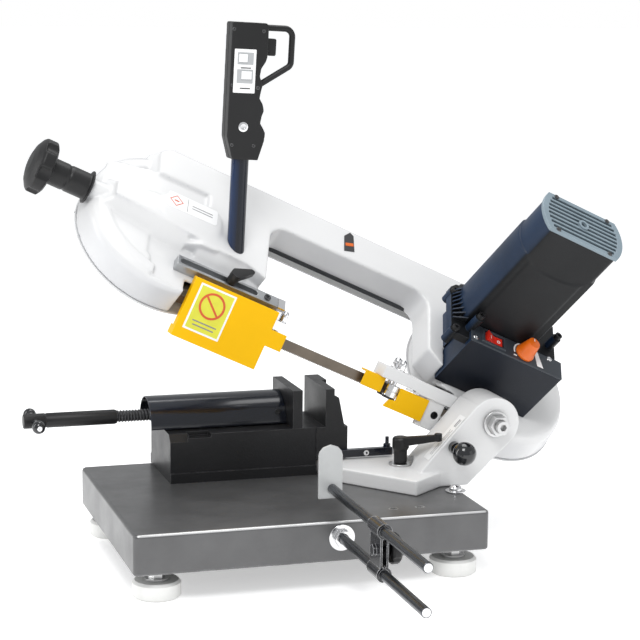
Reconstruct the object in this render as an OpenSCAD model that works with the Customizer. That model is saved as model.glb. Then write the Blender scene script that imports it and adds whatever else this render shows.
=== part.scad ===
// Portable metal-cutting band saw: sheet-metal base, vise, mitre arm and tilting bow.
// Units are millimetres. +Z is up, the operator stands on the -Y side, the pivot is at +X.
// The feet stand on z = 0, and the origin is under the centre of the whole saw.

/* [Base] */
// Length of the base tray along X
base_l = 440; // [430:1:470]
// Depth of the base tray along Y
base_w = 341; // [338:1:360]
// Height of the base tray
base_h = 49.5; // [48:0.5:52]
// Sheet thickness of the base tray
base_t = 2.5; // [2:0.5:3]
// Diameter of each rubber foot
foot_d = 58; // [44:1:64]
// Height of each rubber foot
foot_h = 21; // [18:1:22]

/* [Vise] */
// Height of the moving jaw above the bed
jaw_h = 50; // [40:1:50]
// Diameter of the vise screw
screw_d = 16; // [14:1:16]
// Gap between the jaws at rest
jaw_gap = 31; // [20:1:31]

/* [Bow] */
// Diameter of the band wheels
wheel_d = 184; // [180:1:184]
// Distance between the two wheel axles
wheel_span = 496; // [494:1:498]
// Angle of the bow above the horizontal at rest
bow_rest = 25; // [24:1:26]
// Width of the blade
blade_w = 13; // [12:0.5:13]
// Thickness of the blade
blade_t = 0.65; // [0.6:0.05:0.9]

/* [Handle] */
// Outside diameter of the handle tube
tube_d = 22; // [20:1:22]

/* [Motor] */
// Length of the motor housing along its axis
motor_l = 190; // [150:1:200]

/* [Hidden] */
NODES = ["base_tray", "feet", "foot_studs", "stop_rod_lower", "base_bolts",
  "vise_body", "vise_nut", "fixed_jaw", "jaw_bolts", "mitre_pin", "angle_bar",
  "swivel_arm", "pivot_bushes", "clamp_stud", "clamp_washer", "clamp_lever", "lock_pin",
  "pivot_stud", "pivot_nut", "bow_casting", "rear_cover", "bow_screws",
  "idler_slide", "idler_wheel", "tension_knob", "drive_wheel", "drive_shaft", "drive_gear",
  "shaft_bearings", "armature", "gear_cover", "motor_housing", "motor_grille",
  "control_box", "control_panel", "rocker_switch", "speed_knob",
  "blade", "guide_bar", "left_guide_block", "left_front_roller", "left_rear_roller",
  "left_guard", "guide_lock_lever",
  "right_guide_block", "right_front_roller", "right_rear_roller", "right_guard",
  "handle_tube", "grip_left", "grip_right", "trigger", "trigger_guard",
  "moving_jaw", "vise_cover", "vise_screw", "tommy_bar", "stop_rod_upper", "stop_bracket",
  "bracket_knob"];
node = "all";
$fn = 64;
gap = 0.02;                     // small gap between fitted faces

// Places in the saw frame
centre = [64.7, -130.1];        // centre of the whole saw
datum_z = 7;                    // height of the saw frame above the floor
tray_z = 28;                    // underside of the tray
deck = tray_z + base_h;         // top of the tray
half_l = base_l / 2;
half_w = base_w / 2;
feet_at = [for (y = [-136, 136], x = [-186, 186]) [x, y]];
tray_bolt = [211, -76];         // domed bolt in the deck
stop_x = 31;                    // stop rods
stop_low = tray_z + 29.5;
stop_high = tray_z + 79;
bracket_y = -309;

bed = 140;                      // top of the vise bed
vise_right = 66;
vise_bolts = [for (x = [-110, 45], y = [62, 155]) [x, y]];
jaw_bolt_y = [85, 135];
jaw_bolt_z = 118;
jaw_front = 50;
jaw_back = 148;
jaw_top = bed + jaw_h;
fixed_face = 78;                // face of the fixed jaw
moving_face = fixed_face - jaw_gap;
screw_y = 118;                  // vise screw axis
screw_z = 154;

mitre = [88, 62];               // mitre pivot
clamp = [164, 1];               // clamp stud
slot_r = 97.6;                  // curved clamp slot round the mitre pivot
slot_w = 10.6;
slot_ends = [-39, 7];
arm_z = deck + 0.1;             // underside of the mitre arm
arm_t = 19.4;
arm_top = arm_z + arm_t;
angle_pin = [161, 46];          // upright pin in the angle bar
lock_x = 218;
lock_z = 128;
pivot_x = 273;                  // bow pivot line
pivot_y = 34;                   // blade plane
pivot_z = 156;
hub_d = 66;

// Places in the bow frame
tilt = 50;                      // lean of the wheel plane from the vertical
wheel_r = wheel_d / 2;
wheel_y = wheel_r - 12;         // wheel centres, measured across the bow
drive = [35, wheel_y];
idler = [drive.x - wheel_span, wheel_y];
band_z = -14;                   // mid-plane of the band on the wheels
axle_d = 20;
axle_bore = 20.1;
tension_z = 12;                 // tension screw axis
bar_lock = [-374, 12];
speed_at = [17, 31];
motor = [-23, 78];              // motor axis
motor_z = 94.2;                 // start of the motor housing
grille_z = 94.4 + motor_l;
cover_z = -32.1;                // outer face of the rear cover
cover_screws = [
  [idler.x - 106, wheel_y], [idler.x, wheel_y + 106], [idler.x + 75, wheel_y - 75],
  [drive.x, wheel_y + 112], [drive.x + 112, wheel_y], [drive.x + 79, wheel_y - 79]];
// screw bosses of the gear cover: x, y, bottom, top
motor_bosses = [
  [-88, 92, 76, 94], [-87, 25, 72, 94], [-64, 37.6, 99.4, 118], [61, 72, 64.1, 112]];

// Drive gears
gear_teeth = 52;
pinion_teeth = 10;
gear_offset = 2;                // offset of the two axes across the bow
gear_centres = norm([drive.x - motor.x, gear_offset]);
gear_module = 2 * gear_centres / (gear_teeth + pinion_teeth);
gear_angle = atan2(motor.y - wheel_y, motor.x - drive.x);

// Places in the upright bow frame
run_z = -18.5;                  // middle of the cutting run
left_x = -294;                  // left guide rollers
left_y = 7.35;
right_x = -118.5;               // right guide rollers
right_y = 9.85;

// Handle
handle_foot = [-39, 65.7, 372];
handle_lean = 2.8;
grip_z = 116;                   // start of the grip along the tube
grip_x = 3;                     // shift of the grip from the tube axis

// ---------- frames ----------
module saw() { translate([-centre.x, -centre.y, datum_z]) children(); }
// x along the blade toward the pivot, y from the blade plane to the back, z up from the pivot
module upright() {
  saw() translate([pivot_x, pivot_y, pivot_z]) rotate([0, bow_rest, 0]) children();
}
// x along the blade toward the pivot, y across the wheels, z along the wheel axles
module bow() { upright() rotate([90 - tilt, 0, 0]) children(); }
// z up along the handle tube
module handle() { saw() translate(handle_foot) rotate([0, handle_lean, 0]) children(); }

// ---------- shapes ----------
function at(point, z) = [point[0], point[1], z];
module box(low, high) { translate(low) cube(high - low); }
module cyl_x(d, h, at = [0, 0, 0]) { translate(at) rotate([0, 90, 0]) cylinder(d = d, h = h); }
module cyl_y(d, h, at = [0, 0, 0]) { translate(at) rotate([-90, 0, 0]) cylinder(d = d, h = h); }
module cyl_z(d, h, at = [0, 0, 0]) { translate(at) cylinder(d = d, h = h); }
// hexagon along z, sized across its flats
module hex_z(flats, h, at = [0, 0, 0]) {
  translate(at) cylinder(d = flats / cos(30), h = h, $fn = 6);
}
module ring(outer, bore, h) {
  difference() {
    cyl_z(outer, h);
    cyl_z(bore, h + 2, [0, 0, -1]);
  }
}
// outline of radius and height, turned about z
module turned(outline, at = [0, 0, 0]) { translate(at) rotate_extrude() polygon(outline); }
// XY outline raised from z
module prism(z, h, outline) { translate([0, 0, z]) linear_extrude(h) polygon(outline); }
// XZ outline whose back face is at y
module plate(y, t, outline) {
  translate([0, y, 0]) rotate([90, 0, 0]) linear_extrude(t) polygon(outline);
}
// socket head cap screw standing on z = 0, head up
module cap_screw(d, l) {
  difference() {
    union() {
      cyl_z(d * 1.6, d);
      cyl_z(d, l + 0.1, [0, 0, -l]);
    }
    hex_z(d * 0.8, d, [0, 0, d * 0.45]);
  }
}

// ---------- base ----------
module tray_block(inset, bottom, top) {
  box([-half_l + inset, -half_w + inset, bottom], [half_l - inset, half_w - inset, top]);
}
module base_tray() {
  color("dimgray") saw() difference() {
    tray_block(0, tray_z, deck);
    tray_block(base_t, tray_z + base_t, deck - base_t);
    tray_block(60, tray_z - 1, tray_z + 5);
    for (foot = feet_at) cyl_z(8.1, 6, at(foot, tray_z - 1));
    cyl_y(12.1, 6, [stop_x, -half_w - 1, stop_low]);
    cyl_z(16.1, 10, at(mitre, deck - 5));
    // curved slot with a round hole at each end
    translate(at(mitre, deck - 5)) rotate([0, 0, slot_ends[0]])
      rotate_extrude(angle = slot_ends[1] - slot_ends[0])
        translate([slot_r - slot_w / 2, 0]) square([slot_w, 10]);
    for (a = slot_ends)
      translate(at(mitre, deck - 5)) rotate([0, 0, a]) cyl_z(11, 10, [slot_r, 0, 0]);
    cyl_z(8.1, 10, at(tray_bolt, deck - 5));
    for (x = [104, 138]) box([x, -136, deck - 5], [x + 9, -131, deck + 5]);
    for (bolt = vise_bolts) cyl_z(8.1, 10, at(bolt, deck - 5));
  }
}
module feet() {
  r = foot_d / 2;
  color("whitesmoke") saw() for (foot = feet_at) translate(at(foot, -datum_z)) difference() {
    turned([[0, 0], [r - 3, 0], [r, 2.5], [r, foot_h - 3], [r - 3, foot_h], [0, foot_h]]);
    cyl_z(8.1, 30, [0, 0, 6]);
  }
}
module foot_studs() {
  color("silver") saw() for (foot = feet_at) translate(at(foot, 0)) union() {
    cyl_z(8, 34 + datum_z, [0, 0, 6 - datum_z + gap]);
    cyl_z(30, 2.5, [0, 0, foot_h - datum_z + gap]);
    hex_z(17, 6, [0, 0, foot_h - datum_z + 2]);
    hex_z(17, 5.5 - gap, [0, 0, tray_z - 5.5]);
    hex_z(13, 6, [0, 0, tray_z + base_t + gap]);
  }
}
module stop_rod_lower() {
  color("dimgray") saw() cyl_y(12, 464 - half_w + 25, [stop_x, -464, stop_low]);
}
module base_bolts() {
  color("silver") saw() {
    // nuts on the lower stop rod, outside and inside the tray wall
    translate([stop_x, -half_w - gap, stop_low]) rotate([90, 0, 0]) difference() {
      union() {
        cyl_z(32, 2);
        hex_z(19, 8, [0, 0, 2]);
      }
      cyl_z(12.1, 20, [0, 0, -1]);
    }
    translate([stop_x, -half_w + base_t + gap, stop_low]) rotate([-90, 0, 0]) difference() {
      hex_z(19, 8);
      cyl_z(12.1, 20, [0, 0, -1]);
    }
    // domed bolt in the deck
    translate(at(tray_bolt, deck + gap)) union() {
      cyl_z(26, 2);
      turned([[0, 0], [8, 0], [8, 2.5], [6.6, 5], [4, 6.6], [0, 7.2]], [0, 0, 2]);
      cyl_z(8, 12.2, [0, 0, -12]);
      hex_z(10, 12 - base_t - 2 * gap - 0.1, [0, 0, -12]);
    }
  }
}

// ---------- vise ----------
module vise_body() {
  color("#15171a") saw() difference() {
    union() {
      box([-127, 52, deck + gap], [vise_right, 167, bed]);
      box([-127, 49.6, deck + gap], [vise_right, 172, deck + 13]);
    }
    box([-117, 62, deck - 1], [54, 157, bed - 12]);
    box([-92, 110, bed - 20], [54, 126, bed + 5]);
    box([-103, 51, bed - 5], [-74, 70, bed + 5]);
    for (y = jaw_bolt_y) cyl_x(8.1, 40, [40, y, jaw_bolt_z]);
    for (bolt = vise_bolts) cyl_z(8.1, 12, at(bolt, deck - 1));
    for (y = [109, 127]) cyl_z(6.1, 20, [-112, y, bed - 9]);
    translate([-132, 52, bed]) rotate([45, 0, 0]) cube([56, 13, 13], center = true);
  }
}
module vise_nut() {
  color("#2a2c30") saw() difference() {
    box([-124, 101, bed + gap], [-100, 135, 166]);
    cyl_x(screw_d + 0.1, 50, [-130, screw_y, screw_z]);
  }
}
// bevel on the top front corner of a jaw
module jaw_bevel(x) {
  translate([x, 40, jaw_top - 6]) rotate([45, 0, 0]) translate([0, -20, 0]) cube([40, 20, 20]);
}
module fixed_jaw() {
  color("#17191c") saw() difference() {
    union() {
      box([vise_right + gap, jaw_front, 99.5], [108, 150, bed]);
      box([fixed_face, jaw_front, bed - 1], [90, jaw_back, jaw_top]);
      box([fixed_face, 110, bed - 1], [97, jaw_back, jaw_top]);
      for (y = [60, 110])
        plate(y, 10, [[89, bed - 1], [104, bed - 1], [96, bed + 38], [89, bed + 42]]);
    }
    cyl_z(16.1, 36, at(mitre, 90));
    for (y = jaw_bolt_y) {
      cyl_x(8.1, 60, [60, y, jaw_bolt_z]);
      cyl_x(14, 60, [99, y, jaw_bolt_z]);
    }
    jaw_bevel(70);
  }
}
module jaw_bolts() {
  color("#222428") saw() {
    for (y = jaw_bolt_y) translate([99 + gap, y, jaw_bolt_z]) rotate([0, 90, 0]) difference() {
      union() {
        cyl_z(13, 8);
        cyl_z(8, 43.5, [0, 0, -43]);
      }
      hex_z(6, 9, [0, 0, 4]);
    }
    for (bolt = vise_bolts)
      translate(at(bolt, deck - base_t - gap)) rotate([180, 0, 0]) difference() {
        union() {
          hex_z(13, 5.5);
          cyl_z(8, 13.5, [0, 0, -13]);
        }
        cyl_z(6, 9, [0, 0, 4.5]);
      }
  }
}
module mitre_pin() {
  color("silver") saw() union() {
    cyl_z(26, 6 - gap, at(mitre, deck - base_t - 6));
    cyl_z(16, 52, at(mitre, deck - 7));
  }
}
module angle_bar() {
  color("#1c1e21") saw() {
    difference() {
      box([92, 42, 100], [167, 49.9, 110]);
      cyl_z(5.1, 12, at(angle_pin, 99));
    }
    cyl_z(5, 24, at(angle_pin, 99.8));
    hex_z(9, 4.5, at(angle_pin, 110));
    cyl_y(5, 1.02, [133, 41, 105]);
  }
}

// ---------- mitre arm ----------
// plan of the arm's foot: x, y
arm_plan = [[68, 62], [71, 40], [85, 0], [110, -32], [155, -87], [200, -51], [237, -50],
  [237, 12], [205, 40], [150, 76], [88, 82]];
// side of the arm's upright: x, z
arm_side = [[171, 96], [249.5, 180.5], [294, 130.5], [237, arm_z], [200, arm_z]];
module swivel_arm() {
  color("#e9eaea") saw() difference() {
    union() {
      prism(arm_z, arm_t, arm_plan);
      cyl_z(40, arm_t, at(mitre, arm_z));
      plate(15, 65, arm_side);
      cyl_y(hub_d, 65, [pivot_x, -50, pivot_z]);
    }
    cyl_z(16.1, 30, at(mitre, deck - 1));
    cyl_y(28.02, 90, [pivot_x, -60, pivot_z]);
    cyl_z(10.2, 30, at(clamp, deck - 1));
    cyl_z(34, 60, at(clamp, arm_top));
    cyl_y(12.1, 34, [lock_x, -60, lock_z]);
    translate([151, -70, deck - 1]) rotate([0, 0, -12]) cube([10, 10, 2.6]);
    plate(3, 43, [[190, 70], [244, 118], [252, 108], [230, 70]]);
  }
}
module pivot_bushes() {
  color("darkgoldenrod") saw() for (y = [-49.9, -9.9])
    translate([pivot_x, y, pivot_z]) rotate([-90, 0, 0]) ring(28, axle_bore, 24.8);
}
module clamp_stud() {
  color("silver") saw() translate(at(clamp, 0)) union() {
    cyl_z(10, 67, [0, 0, 60]);
    box([-11, -8, 62], [11, 8, deck - base_t - 0.1]);
  }
}
module clamp_washer() {
  color("silver") saw() translate(at(clamp, arm_top + gap)) ring(30, 10.2, 2.5);
}
module clamp_lever() {
  color("#14161a") saw() translate(at(clamp, 0)) difference() {
    union() {
      cyl_z(17, 16, [0, 0, 99.6]);
      turned([[0, 0], [8.5, 0], [11, 4], [11, 15], [9, 18], [0, 18]], [0, 0, 115.6]);
      rotate([0, 0, -50]) hull() {
        cyl_z(15, 10, [0, 0, 122]);
        cyl_z(8, 7, [55, 0, 136]);
      }
      rotate([0, 0, -50]) cyl_z(10, 10, [55, 0, 135]);
    }
    cyl_z(10.1, 37.5, [0, 0, 90]);
  }
}
module lock_pin() {
  color("#111316") saw() union() {
    cyl_y(12, 44, [lock_x, -72, lock_z]);
    translate([lock_x, -86, lock_z]) sphere(d = 30);
    cyl_y(16, 9.9, [lock_x, -60, lock_z]);
  }
}

// ---------- bow pivot ----------
module pivot_stud() {
  color("silver") saw() {
    cyl_y(axle_d, 78, [pivot_x, -52, pivot_z]);
    translate([pivot_x, -78, pivot_z]) difference() {
      cyl_y(16, 27);
      translate([0, -1, 0]) rotate([-90, 0, 0]) hex_z(8, 9);
    }
  }
}
module pivot_nut() {
  color("silver") saw() difference() {
    union() {
      cyl_y(34, 3, [pivot_x, -55.1, pivot_z]);
      translate([pivot_x, -69, pivot_z]) rotate([-90, 0, 0]) hex_z(24, 14);
    }
    cyl_y(16.1, 50, [pivot_x, -90, pivot_z]);
    cyl_y(axle_bore, 5, [pivot_x, -52, pivot_z]);
  }
}

// ---------- bow casting ----------
// wheel housings: radius, height
idler_housing = [[0, 0], [110, 0], [110, 36], [107, 43], [102, 46], [0, 46]];
drive_housing = [[0, 0], [117, 0], [112, 30], [107, 38], [102, 40], [0, 40]];
// beam between the housings: x, y
beam = [[40, 192], [60, 180], [60, 140], [-60, 140], [-60, 138], [-329, 138], [-400, 138],
  [-492, 138], [-494, 178], [-480, 192]];
module hub_clearance() { upright() cyl_y(104, 15.35 + 80 - pivot_y, [0, -80, 0]); }
module left_guard_seat() { upright() box([-430, -24, -64], [-280, -8.9, 18.5]); }
module bow_casting() {
  color("#f1f1f1") difference() {
    union() {
      bow() turned(idler_housing, at(idler, -30));
      // tension slide bulge
      bow() translate([0, wheel_y, 8]) {
        prism(0, 27, [[-545, -13], [-425, -27], [-425, 27], [-545, 13]]);
        cyl_z(54, 27, [-425, 0, 0]);
      }
      bow() turned(drive_housing, at(drive, -30));
      bow() prism(-10, 44, beam);
      // leg down to the right guide
      bow() prism(-10, 44, [[-88, 140], [20, 140], [20, 20], [-66, 20], [-88, 40]]);
      // boss round the tension screw
      bow() cyl_x(27, 40, [-573.2, wheel_y, tension_z]);
      // handle and guide seat block
      bow() prism(0, 34, [[-420, 140], [-329, 140], [-329, 36], [-345, 30], [-420, 30]]);
      bow() prism(0, 11.8, [[-470, 40], [-329, 40], [-329, 2], [-470, -20]]);
      // pivot boss
      upright() cyl_y(hub_d, 24, [0, 15.4 - pivot_y, 0]);
    }
    // wheel cavities open to the back
    bow() cyl_z(204, 35, at(idler, -31));
    bow() cyl_z(208, 35, at(drive, -31));
    // return band channel
    bow() box([idler.x, wheel_y + wheel_r - 12, -31], [drive.x, wheel_y + wheel_r + 9, -2]);
    // tension slide room and screw hole
    bow() box([-520, wheel_y - 12, -2], [-425, wheel_y + 12, 30]);
    bow() cyl_x(16.2, 120, [-600, wheel_y, tension_z]);
    // pinion room and screw holes of the rear cover
    bow() cyl_z(28, 40, at(motor, 22));
    bow() for (screw = cover_screws) cyl_z(5.1, 12, at(screw, -31));
    // seats of the guide bar, the left guard and the right guide
    bow() box([-481, -24, 11.9], [-300, 21, 40]);
    left_guard_seat();
    upright() box([-150, -22, -50], [-31.5, 19.3, 9.8]);
    // bearing bore and gear room
    bow() cyl_z(35.02, 60, at(drive, -5));
    bow() cyl_z(116, 60, at(drive, 20));
    // pivot stud seat
    upright() cyl_y(axle_bore, 52, [0, -60, 0]);
    upright() box([-80, -9, -28], [70, 9, -9.8]);
    // free cutting run
    upright() box([-430, -9, -32], [-60, 14, 0]);
    // left guide slot room
    upright() box([-430, -9, -64], [-90, 60, 4]);
    // seat of the control box and clearance round the arm's hub
    bow() box([-64.1, -60, 10.05], [130, 52.1, 60]);
    hub_clearance();
    bow() cyl_z(8.1, 30, at(bar_lock, 1));
  }
}
module rear_cover() {
  color("#ececec") difference() {
    bow() translate([0, 0, cover_z]) union() {
      cyl_z(222, 2, idler);
      cyl_z(236, 2, drive);
      box([idler.x, 150, 0], [drive.x, 193, 2]);
    }
    bow() for (screw = cover_screws) cyl_z(5.1, 20, at(screw, -40));
    left_guard_seat();
    hub_clearance();
  }
}

// ---------- wheels and drive ----------
// wheel with a back flange, recessed on both faces, with six round holes
module wheel(place) {
  color("#b9bcc0") bow() translate(at(place, band_z - 9)) difference() {
    union() {
      cyl_z(wheel_d - 0.1, 18);
      cyl_z(wheel_d + 4, 2.4);
    }
    translate([0, 0, 7]) ring(wheel_d - 16, 56, 14);
    translate([0, 0, -1]) ring(wheel_d - 16, 56, 4);
    cyl_z(axle_bore, 30, [0, 0, -1]);
    for (a = [0:60:359]) rotate([0, 0, a]) cyl_z(24, 20, [56, 0, -1]);
  }
}
module idler_wheel() { wheel(idler); }
module drive_wheel() { wheel(drive); }
module idler_slide() {
  color("#7d8085") bow() union() {
    cyl_z(axle_d, 25, at(idler, -23));
    difference() {
      box([idler.x - 26, wheel_y - 11.9, 1.2], [idler.x + 28, wheel_y + 11.9, 22]);
      cyl_x(10.1, 24, [idler.x - 30, wheel_y, tension_z]);
    }
  }
}
module tension_knob() {
  // radius and distance along the screw
  stem = [[0, 0], [17, 0], [17, 26], [16, 27], [16, 29], [17, 30], [17, 56], [0, 56]];
  cap = [[0, 0], [14, 0.8], [24, 3.5], [32, 8], [35, 11], [35, 24], [30, 27], [18, 28], [0, 28]];
  color("#121417") bow() translate([0, wheel_y, tension_z]) difference() {
    union() {
      cyl_x(16, 34, [-582, 0, 0]);
      cyl_x(10, 74, [-550, 0, 0]);
      cyl_x(43, 2.6, [-576.2, 0, 0]);
      translate([-632, 0, 0]) rotate([0, 90, 0]) turned(stem);
      translate([-655, 0, 0]) rotate([0, 90, 0]) turned(cap);
    }
    for (a = [0:60:359]) rotate([a, 0, 0]) cyl_x(22, 40, [-645, 0, 41]);
  }
}
module drive_shaft() {
  color("silver") bow() translate(at(drive, band_z - 12)) union() {
    cyl_z(axle_d, 54);
    cyl_z(26, 2.8);
  }
}
// corners of one tooth: place in tooth pitches before narrowing, height in gear modules
tooth = [[-0.36, -1.2], [-0.2, 0.7], [0.2, 0.7], [0.36, -1.2]];
tooth_narrowing = 0.62;
module gear(teeth, h) {
  pitch_r = teeth * gear_module / 2;
  linear_extrude(h) polygon([for (i = [0:teeth - 1]) for (corner = tooth)
    let(a = (i + corner[0] * tooth_narrowing) * 360 / teeth,
        r = pitch_r + corner[1] * gear_module)
    [r * cos(a), r * sin(a)]]);
}
module drive_gear() {
  color("#8b8e92") bow() translate(at(drive, 24)) difference() {
    rotate([0, 0, gear_angle]) gear(gear_teeth, 8);
    cyl_z(axle_bore, 12, [0, 0, -1]);
  }
}
module shaft_bearings() {
  color("silver") bow() for (z = [-4.8, 8]) translate(at(drive, z)) ring(35, axle_bore, 9.6);
}
module armature() {
  color("#9a6a3a") bow() translate(at(motor, 0)) union() {
    // pinion, turned half a tooth to mesh
    translate([0, 0, 24]) rotate([0, 0, gear_angle + 180 + 180 / pinion_teeth])
      gear(pinion_teeth, 9);
    cyl_z(10, 238, [0, 0, 30]);
    cyl_z(48, 90, [0, 0, 110]);
    cyl_z(28, 18, [0, 0, 215]);
    // radial blades
    for (a = [0:45:359]) rotate([0, 0, a]) translate([0, -1.2, 246]) cube([27, 2.4, 14]);
  }
}

// ---------- motor ----------
module motor_section(inset) {
  intersection() {
    translate(motor) square([200, 66 - 2 * inset], center = true);
    translate(motor) circle(d = 120 - 2 * inset);
  }
}
// three outlines, x and y, stacked from the casting to the motor
gear_room = [[-66, 52.1], [-66, 112], [-60, 118], [60, 118], [92, 108], [92, 60], [76, 52.1]];
gear_step = [[-66, 52.1], [-66, 112], [50, 112], [50, 52.1]];
motor_flange = [[-92, 28], [-92, 100], [-84, 108], [-60, 112], [70, 112], [70, 52.1],
  [-64.2, 52.1], [-64.2, 20], [-84, 20]];
module gear_cover() {
  color("#16181c") bow() difference() {
    union() {
      prism(34.1, 30, gear_room);
      prism(64, 30, gear_step);
      prism(82, 12, motor_flange);
      for (boss = motor_bosses) cyl_z(13, boss[3] - boss[2], at(boss, boss[2]));
      // root of the boss beside the control box
      intersection() {
        cyl_z(13, 12, [-64, 37.6, 90]);
        box([-80, 20, 80], [-64.2, 60, 110]);
      }
    }
    cyl_z(50, 20, at(drive, 30));
    cyl_z(24, 50, at(motor, 30));
    cyl_z(10.2, 50, at(motor, 60));
    for (boss = motor_bosses) cyl_z(6.1, 30, at(boss, boss[3] - 22));
  }
}
module bow_screws() {
  color("#1b1d20") bow() {
    for (boss = motor_bosses) translate(at(boss, boss[3] + 0.1)) cap_screw(6, 15);
    for (screw = cover_screws) translate(at(screw, cover_z - 0.1)) rotate([180, 0, 0]) {
      cyl_z(9, 2.5);
      cyl_z(5, 12.1, [0, 0, -12]);
    }
  }
}
module motor_housing() {
  color("#14181f") bow() difference() {
    translate([0, 0, motor_z]) linear_extrude(motor_l) motor_section(0);
    translate([0, 0, 98]) linear_extrude(motor_l) motor_section(4);
    cyl_z(14, 20, at(motor, 90));
  }
}
module motor_grille() {
  function slot_half(y) = sqrt(2700 - y * y);
  color("#3a4048") bow() translate([0, 0, grille_z]) difference() {
    union() {
      difference() {
        linear_extrude(5) motor_section(0);
        for (y = [-25.2:7.2:26]) translate([motor.x, motor.y + y, -1])
          box([-slot_half(y), -2.2, 0], [slot_half(y), 2.2, 8]);
      }
      cyl_z(15, 5, motor);
    }
    cyl_z(8, 20, at(motor, -1));
  }
}

// ---------- controls ----------
module control_box() {
  color("#14181f") bow() difference() {
    box([-64, 15, 10.1], [76, 52, 97.1]);
    box([-60, 19, 14], [72, 48, 104]);
    box([-90, 44.9, 93.9], [100, 60, 120]);
    cyl_z(106, 26, at(drive, 8));
  }
}
module control_panel() {
  color("#1c2026") bow() difference() {
    union() {
      box([-64, 15, 97.2], [76, 44.8, 99.2]);
      translate([-48, 20, 98]) cube([36, 22, 3]);
    }
    translate([-44.5, 22.5, 90]) cube([29, 17, 20]);
    cyl_z(6.2, 20, at(speed_at, 90));
  }
}
module rocker_switch() {
  // x, z
  side = [[-12.5, -9], [12.5, -9], [12.5, 4.2], [1.5, 2], [-1.5, 2.2], [-12.5, 6.4]];
  color("#c8362a") bow() translate([-30, 31, 97]) rotate([0, 9, 0]) difference() {
    plate(7.5, 15, side);
    cyl_y(2.4, 20, [0, -10, 0]);
  }
}
module speed_knob() {
  knob = [[0, 0], [13, 0], [13.4, 2.5], [12, 6], [9.2, 20], [8.2, 23.5], [0, 24.5]];
  color("#f07c1e") bow() union() {
    cyl_z(6, 18, at(speed_at, 84));
    turned(knob, at(speed_at, 99.5));
  }
}

// ---------- blade and guides ----------
// solid that fills a loop of radius r round both wheels
module loop_body(r, h) {
  union() {
    cyl_z(2 * r, h, at(idler, 0));
    cyl_z(2 * r, h, at(drive, 0));
    box([idler.x, wheel_y - r, 0], [drive.x, wheel_y + r, h]);
  }
}
// the cutting run is upright between the guides, the rest lies on the wheels
module blade() {
  color("#5d5348") {
    bow() translate([0, 0, band_z - blade_w / 2]) difference() {
      loop_body(wheel_r + blade_t, blade_w);
      translate([0, 0, -1]) loop_body(wheel_r, 20);
      box([-330, -40, -1], [-100, 0, 20]);
    }
    upright() box([-330, -blade_t / 2, run_z - blade_w / 2],
      [-100, blade_t / 2, run_z + blade_w / 2]);
  }
}
module guide_bar() {
  color("#b4b6b8") bow() difference() {
    box([-448, 4, 12], [-306, 20, 25]);
    translate([0, 12, 10]) {
      box([-440, -4.3, 0], [-340, 4.3, 30]);
      for (x = [-440, -340]) cyl_z(8.6, 30, [x, 0, 0]);
    }
  }
}
// the block ends above the rollers, its two nuts stand on top
module left_guide_block() {
  color("#a9acae") {
    difference() {
      union() {
        upright() box([-303, -13, -6], [-284, 13, 6]);
        intersection() {
          bow() box([-306, 4, 12], [-296, 20, 25]);
          upright() box([-310, -30, 6], [-290, 40, 40]);
        }
        upright() box([-303, -9, 5], [-297, 12, 20]);
      }
      upright() for (y = [-left_y, left_y]) cyl_z(6.1, 14, [left_x, y, -10]);
      bow() box([-449, 3.9, 11.9], [-305.9, 20.1, 25.1]);
    }
    upright() for (y = [-left_y, left_y]) translate([-290.5, y, 6 + gap]) {
      hex_z(8, 6);
      cyl_z(5, 5, [0, 0, 5.5]);
    }
  }
}
// bevelled roller with a shallow groove round its middle
module roller(d, h) {
  r = d / 2;
  turned([[0, 0], [r - 1, 0], [r, 1], [r, h / 2 - 1], [r - 0.8, h / 2 - 0.4],
    [r - 0.8, h / 2 + 0.4], [r, h / 2 + 1], [r, h - 1], [r - 1, h], [0, h]]);
}
module left_roller(y) {
  color("silver") upright() translate([left_x, y, -26]) {
    roller(14, 18);
    cyl_z(6, 28);
  }
}
module left_front_roller() { left_roller(-left_y); }
module left_rear_roller() { left_roller(left_y); }
module left_guard() {
  color("#f5b800") upright() difference() {
    union() {
      box([-421, -22, -62], [-304, -19.5, 16.5]);
      box([-421, -22, -62], [-304, -1, -59.5]);
      box([-421, -22, -62], [-418.5, -1, 16.5]);
      box([-317, -22, -29], [-282, -19.5, -7]);
      box([-304, -22, -9.5], [-282, -15.5, -7]);
      box([-304, -22, -29], [-282, -15.5, -26.5]);
    }
    box([-430, -10, -50], [-400, 20, 30]);
  }
}
module guide_lock_lever() {
  color("#121417") bow() union() {
    cyl_z(14, 14, at(bar_lock, 25.1));
    cyl_z(8, 24, at(bar_lock, 2));
    translate(at(bar_lock, 35)) hull() {
      cyl_z(15, 8);
      cyl_z(8, 6, [19, 12, 3]);
    }
  }
}
module right_guide_block() {
  color("#ededed") {
    upright() difference() {
      union() {
        box([-141, -18.5, -6], [-89, 19, 9.5]);
        box([-90, -18.5, -8], [-32, -7, 9]);
        box([-72, -16, -46], [-43, -6, 0]);
      }
      cyl_y(10, 30, [-51.6, -20, -25.5]);
      for (y = [-right_y, right_y]) cyl_z(6.1, 14, [right_x, y, -10]);
    }
    // domed nuts
    upright() for (y = [-right_y, right_y]) translate([right_x, y, 9.5 + gap]) {
      cyl_z(12, 1.5);
      hex_z(10, 6, [0, 0, 1.4]);
      turned([[0, 7], [4.6, 7], [4.6, 9.5], [3.6, 12.4], [1.6, 14], [0, 14]]);
    }
  }
}
module right_roller(y) {
  color("silver") upright() translate([right_x, y, -27]) {
    roller(19, 17);
    cyl_z(6, 26);
  }
}
module right_front_roller() { right_roller(-right_y); }
module right_rear_roller() { right_roller(right_y); }
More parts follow.
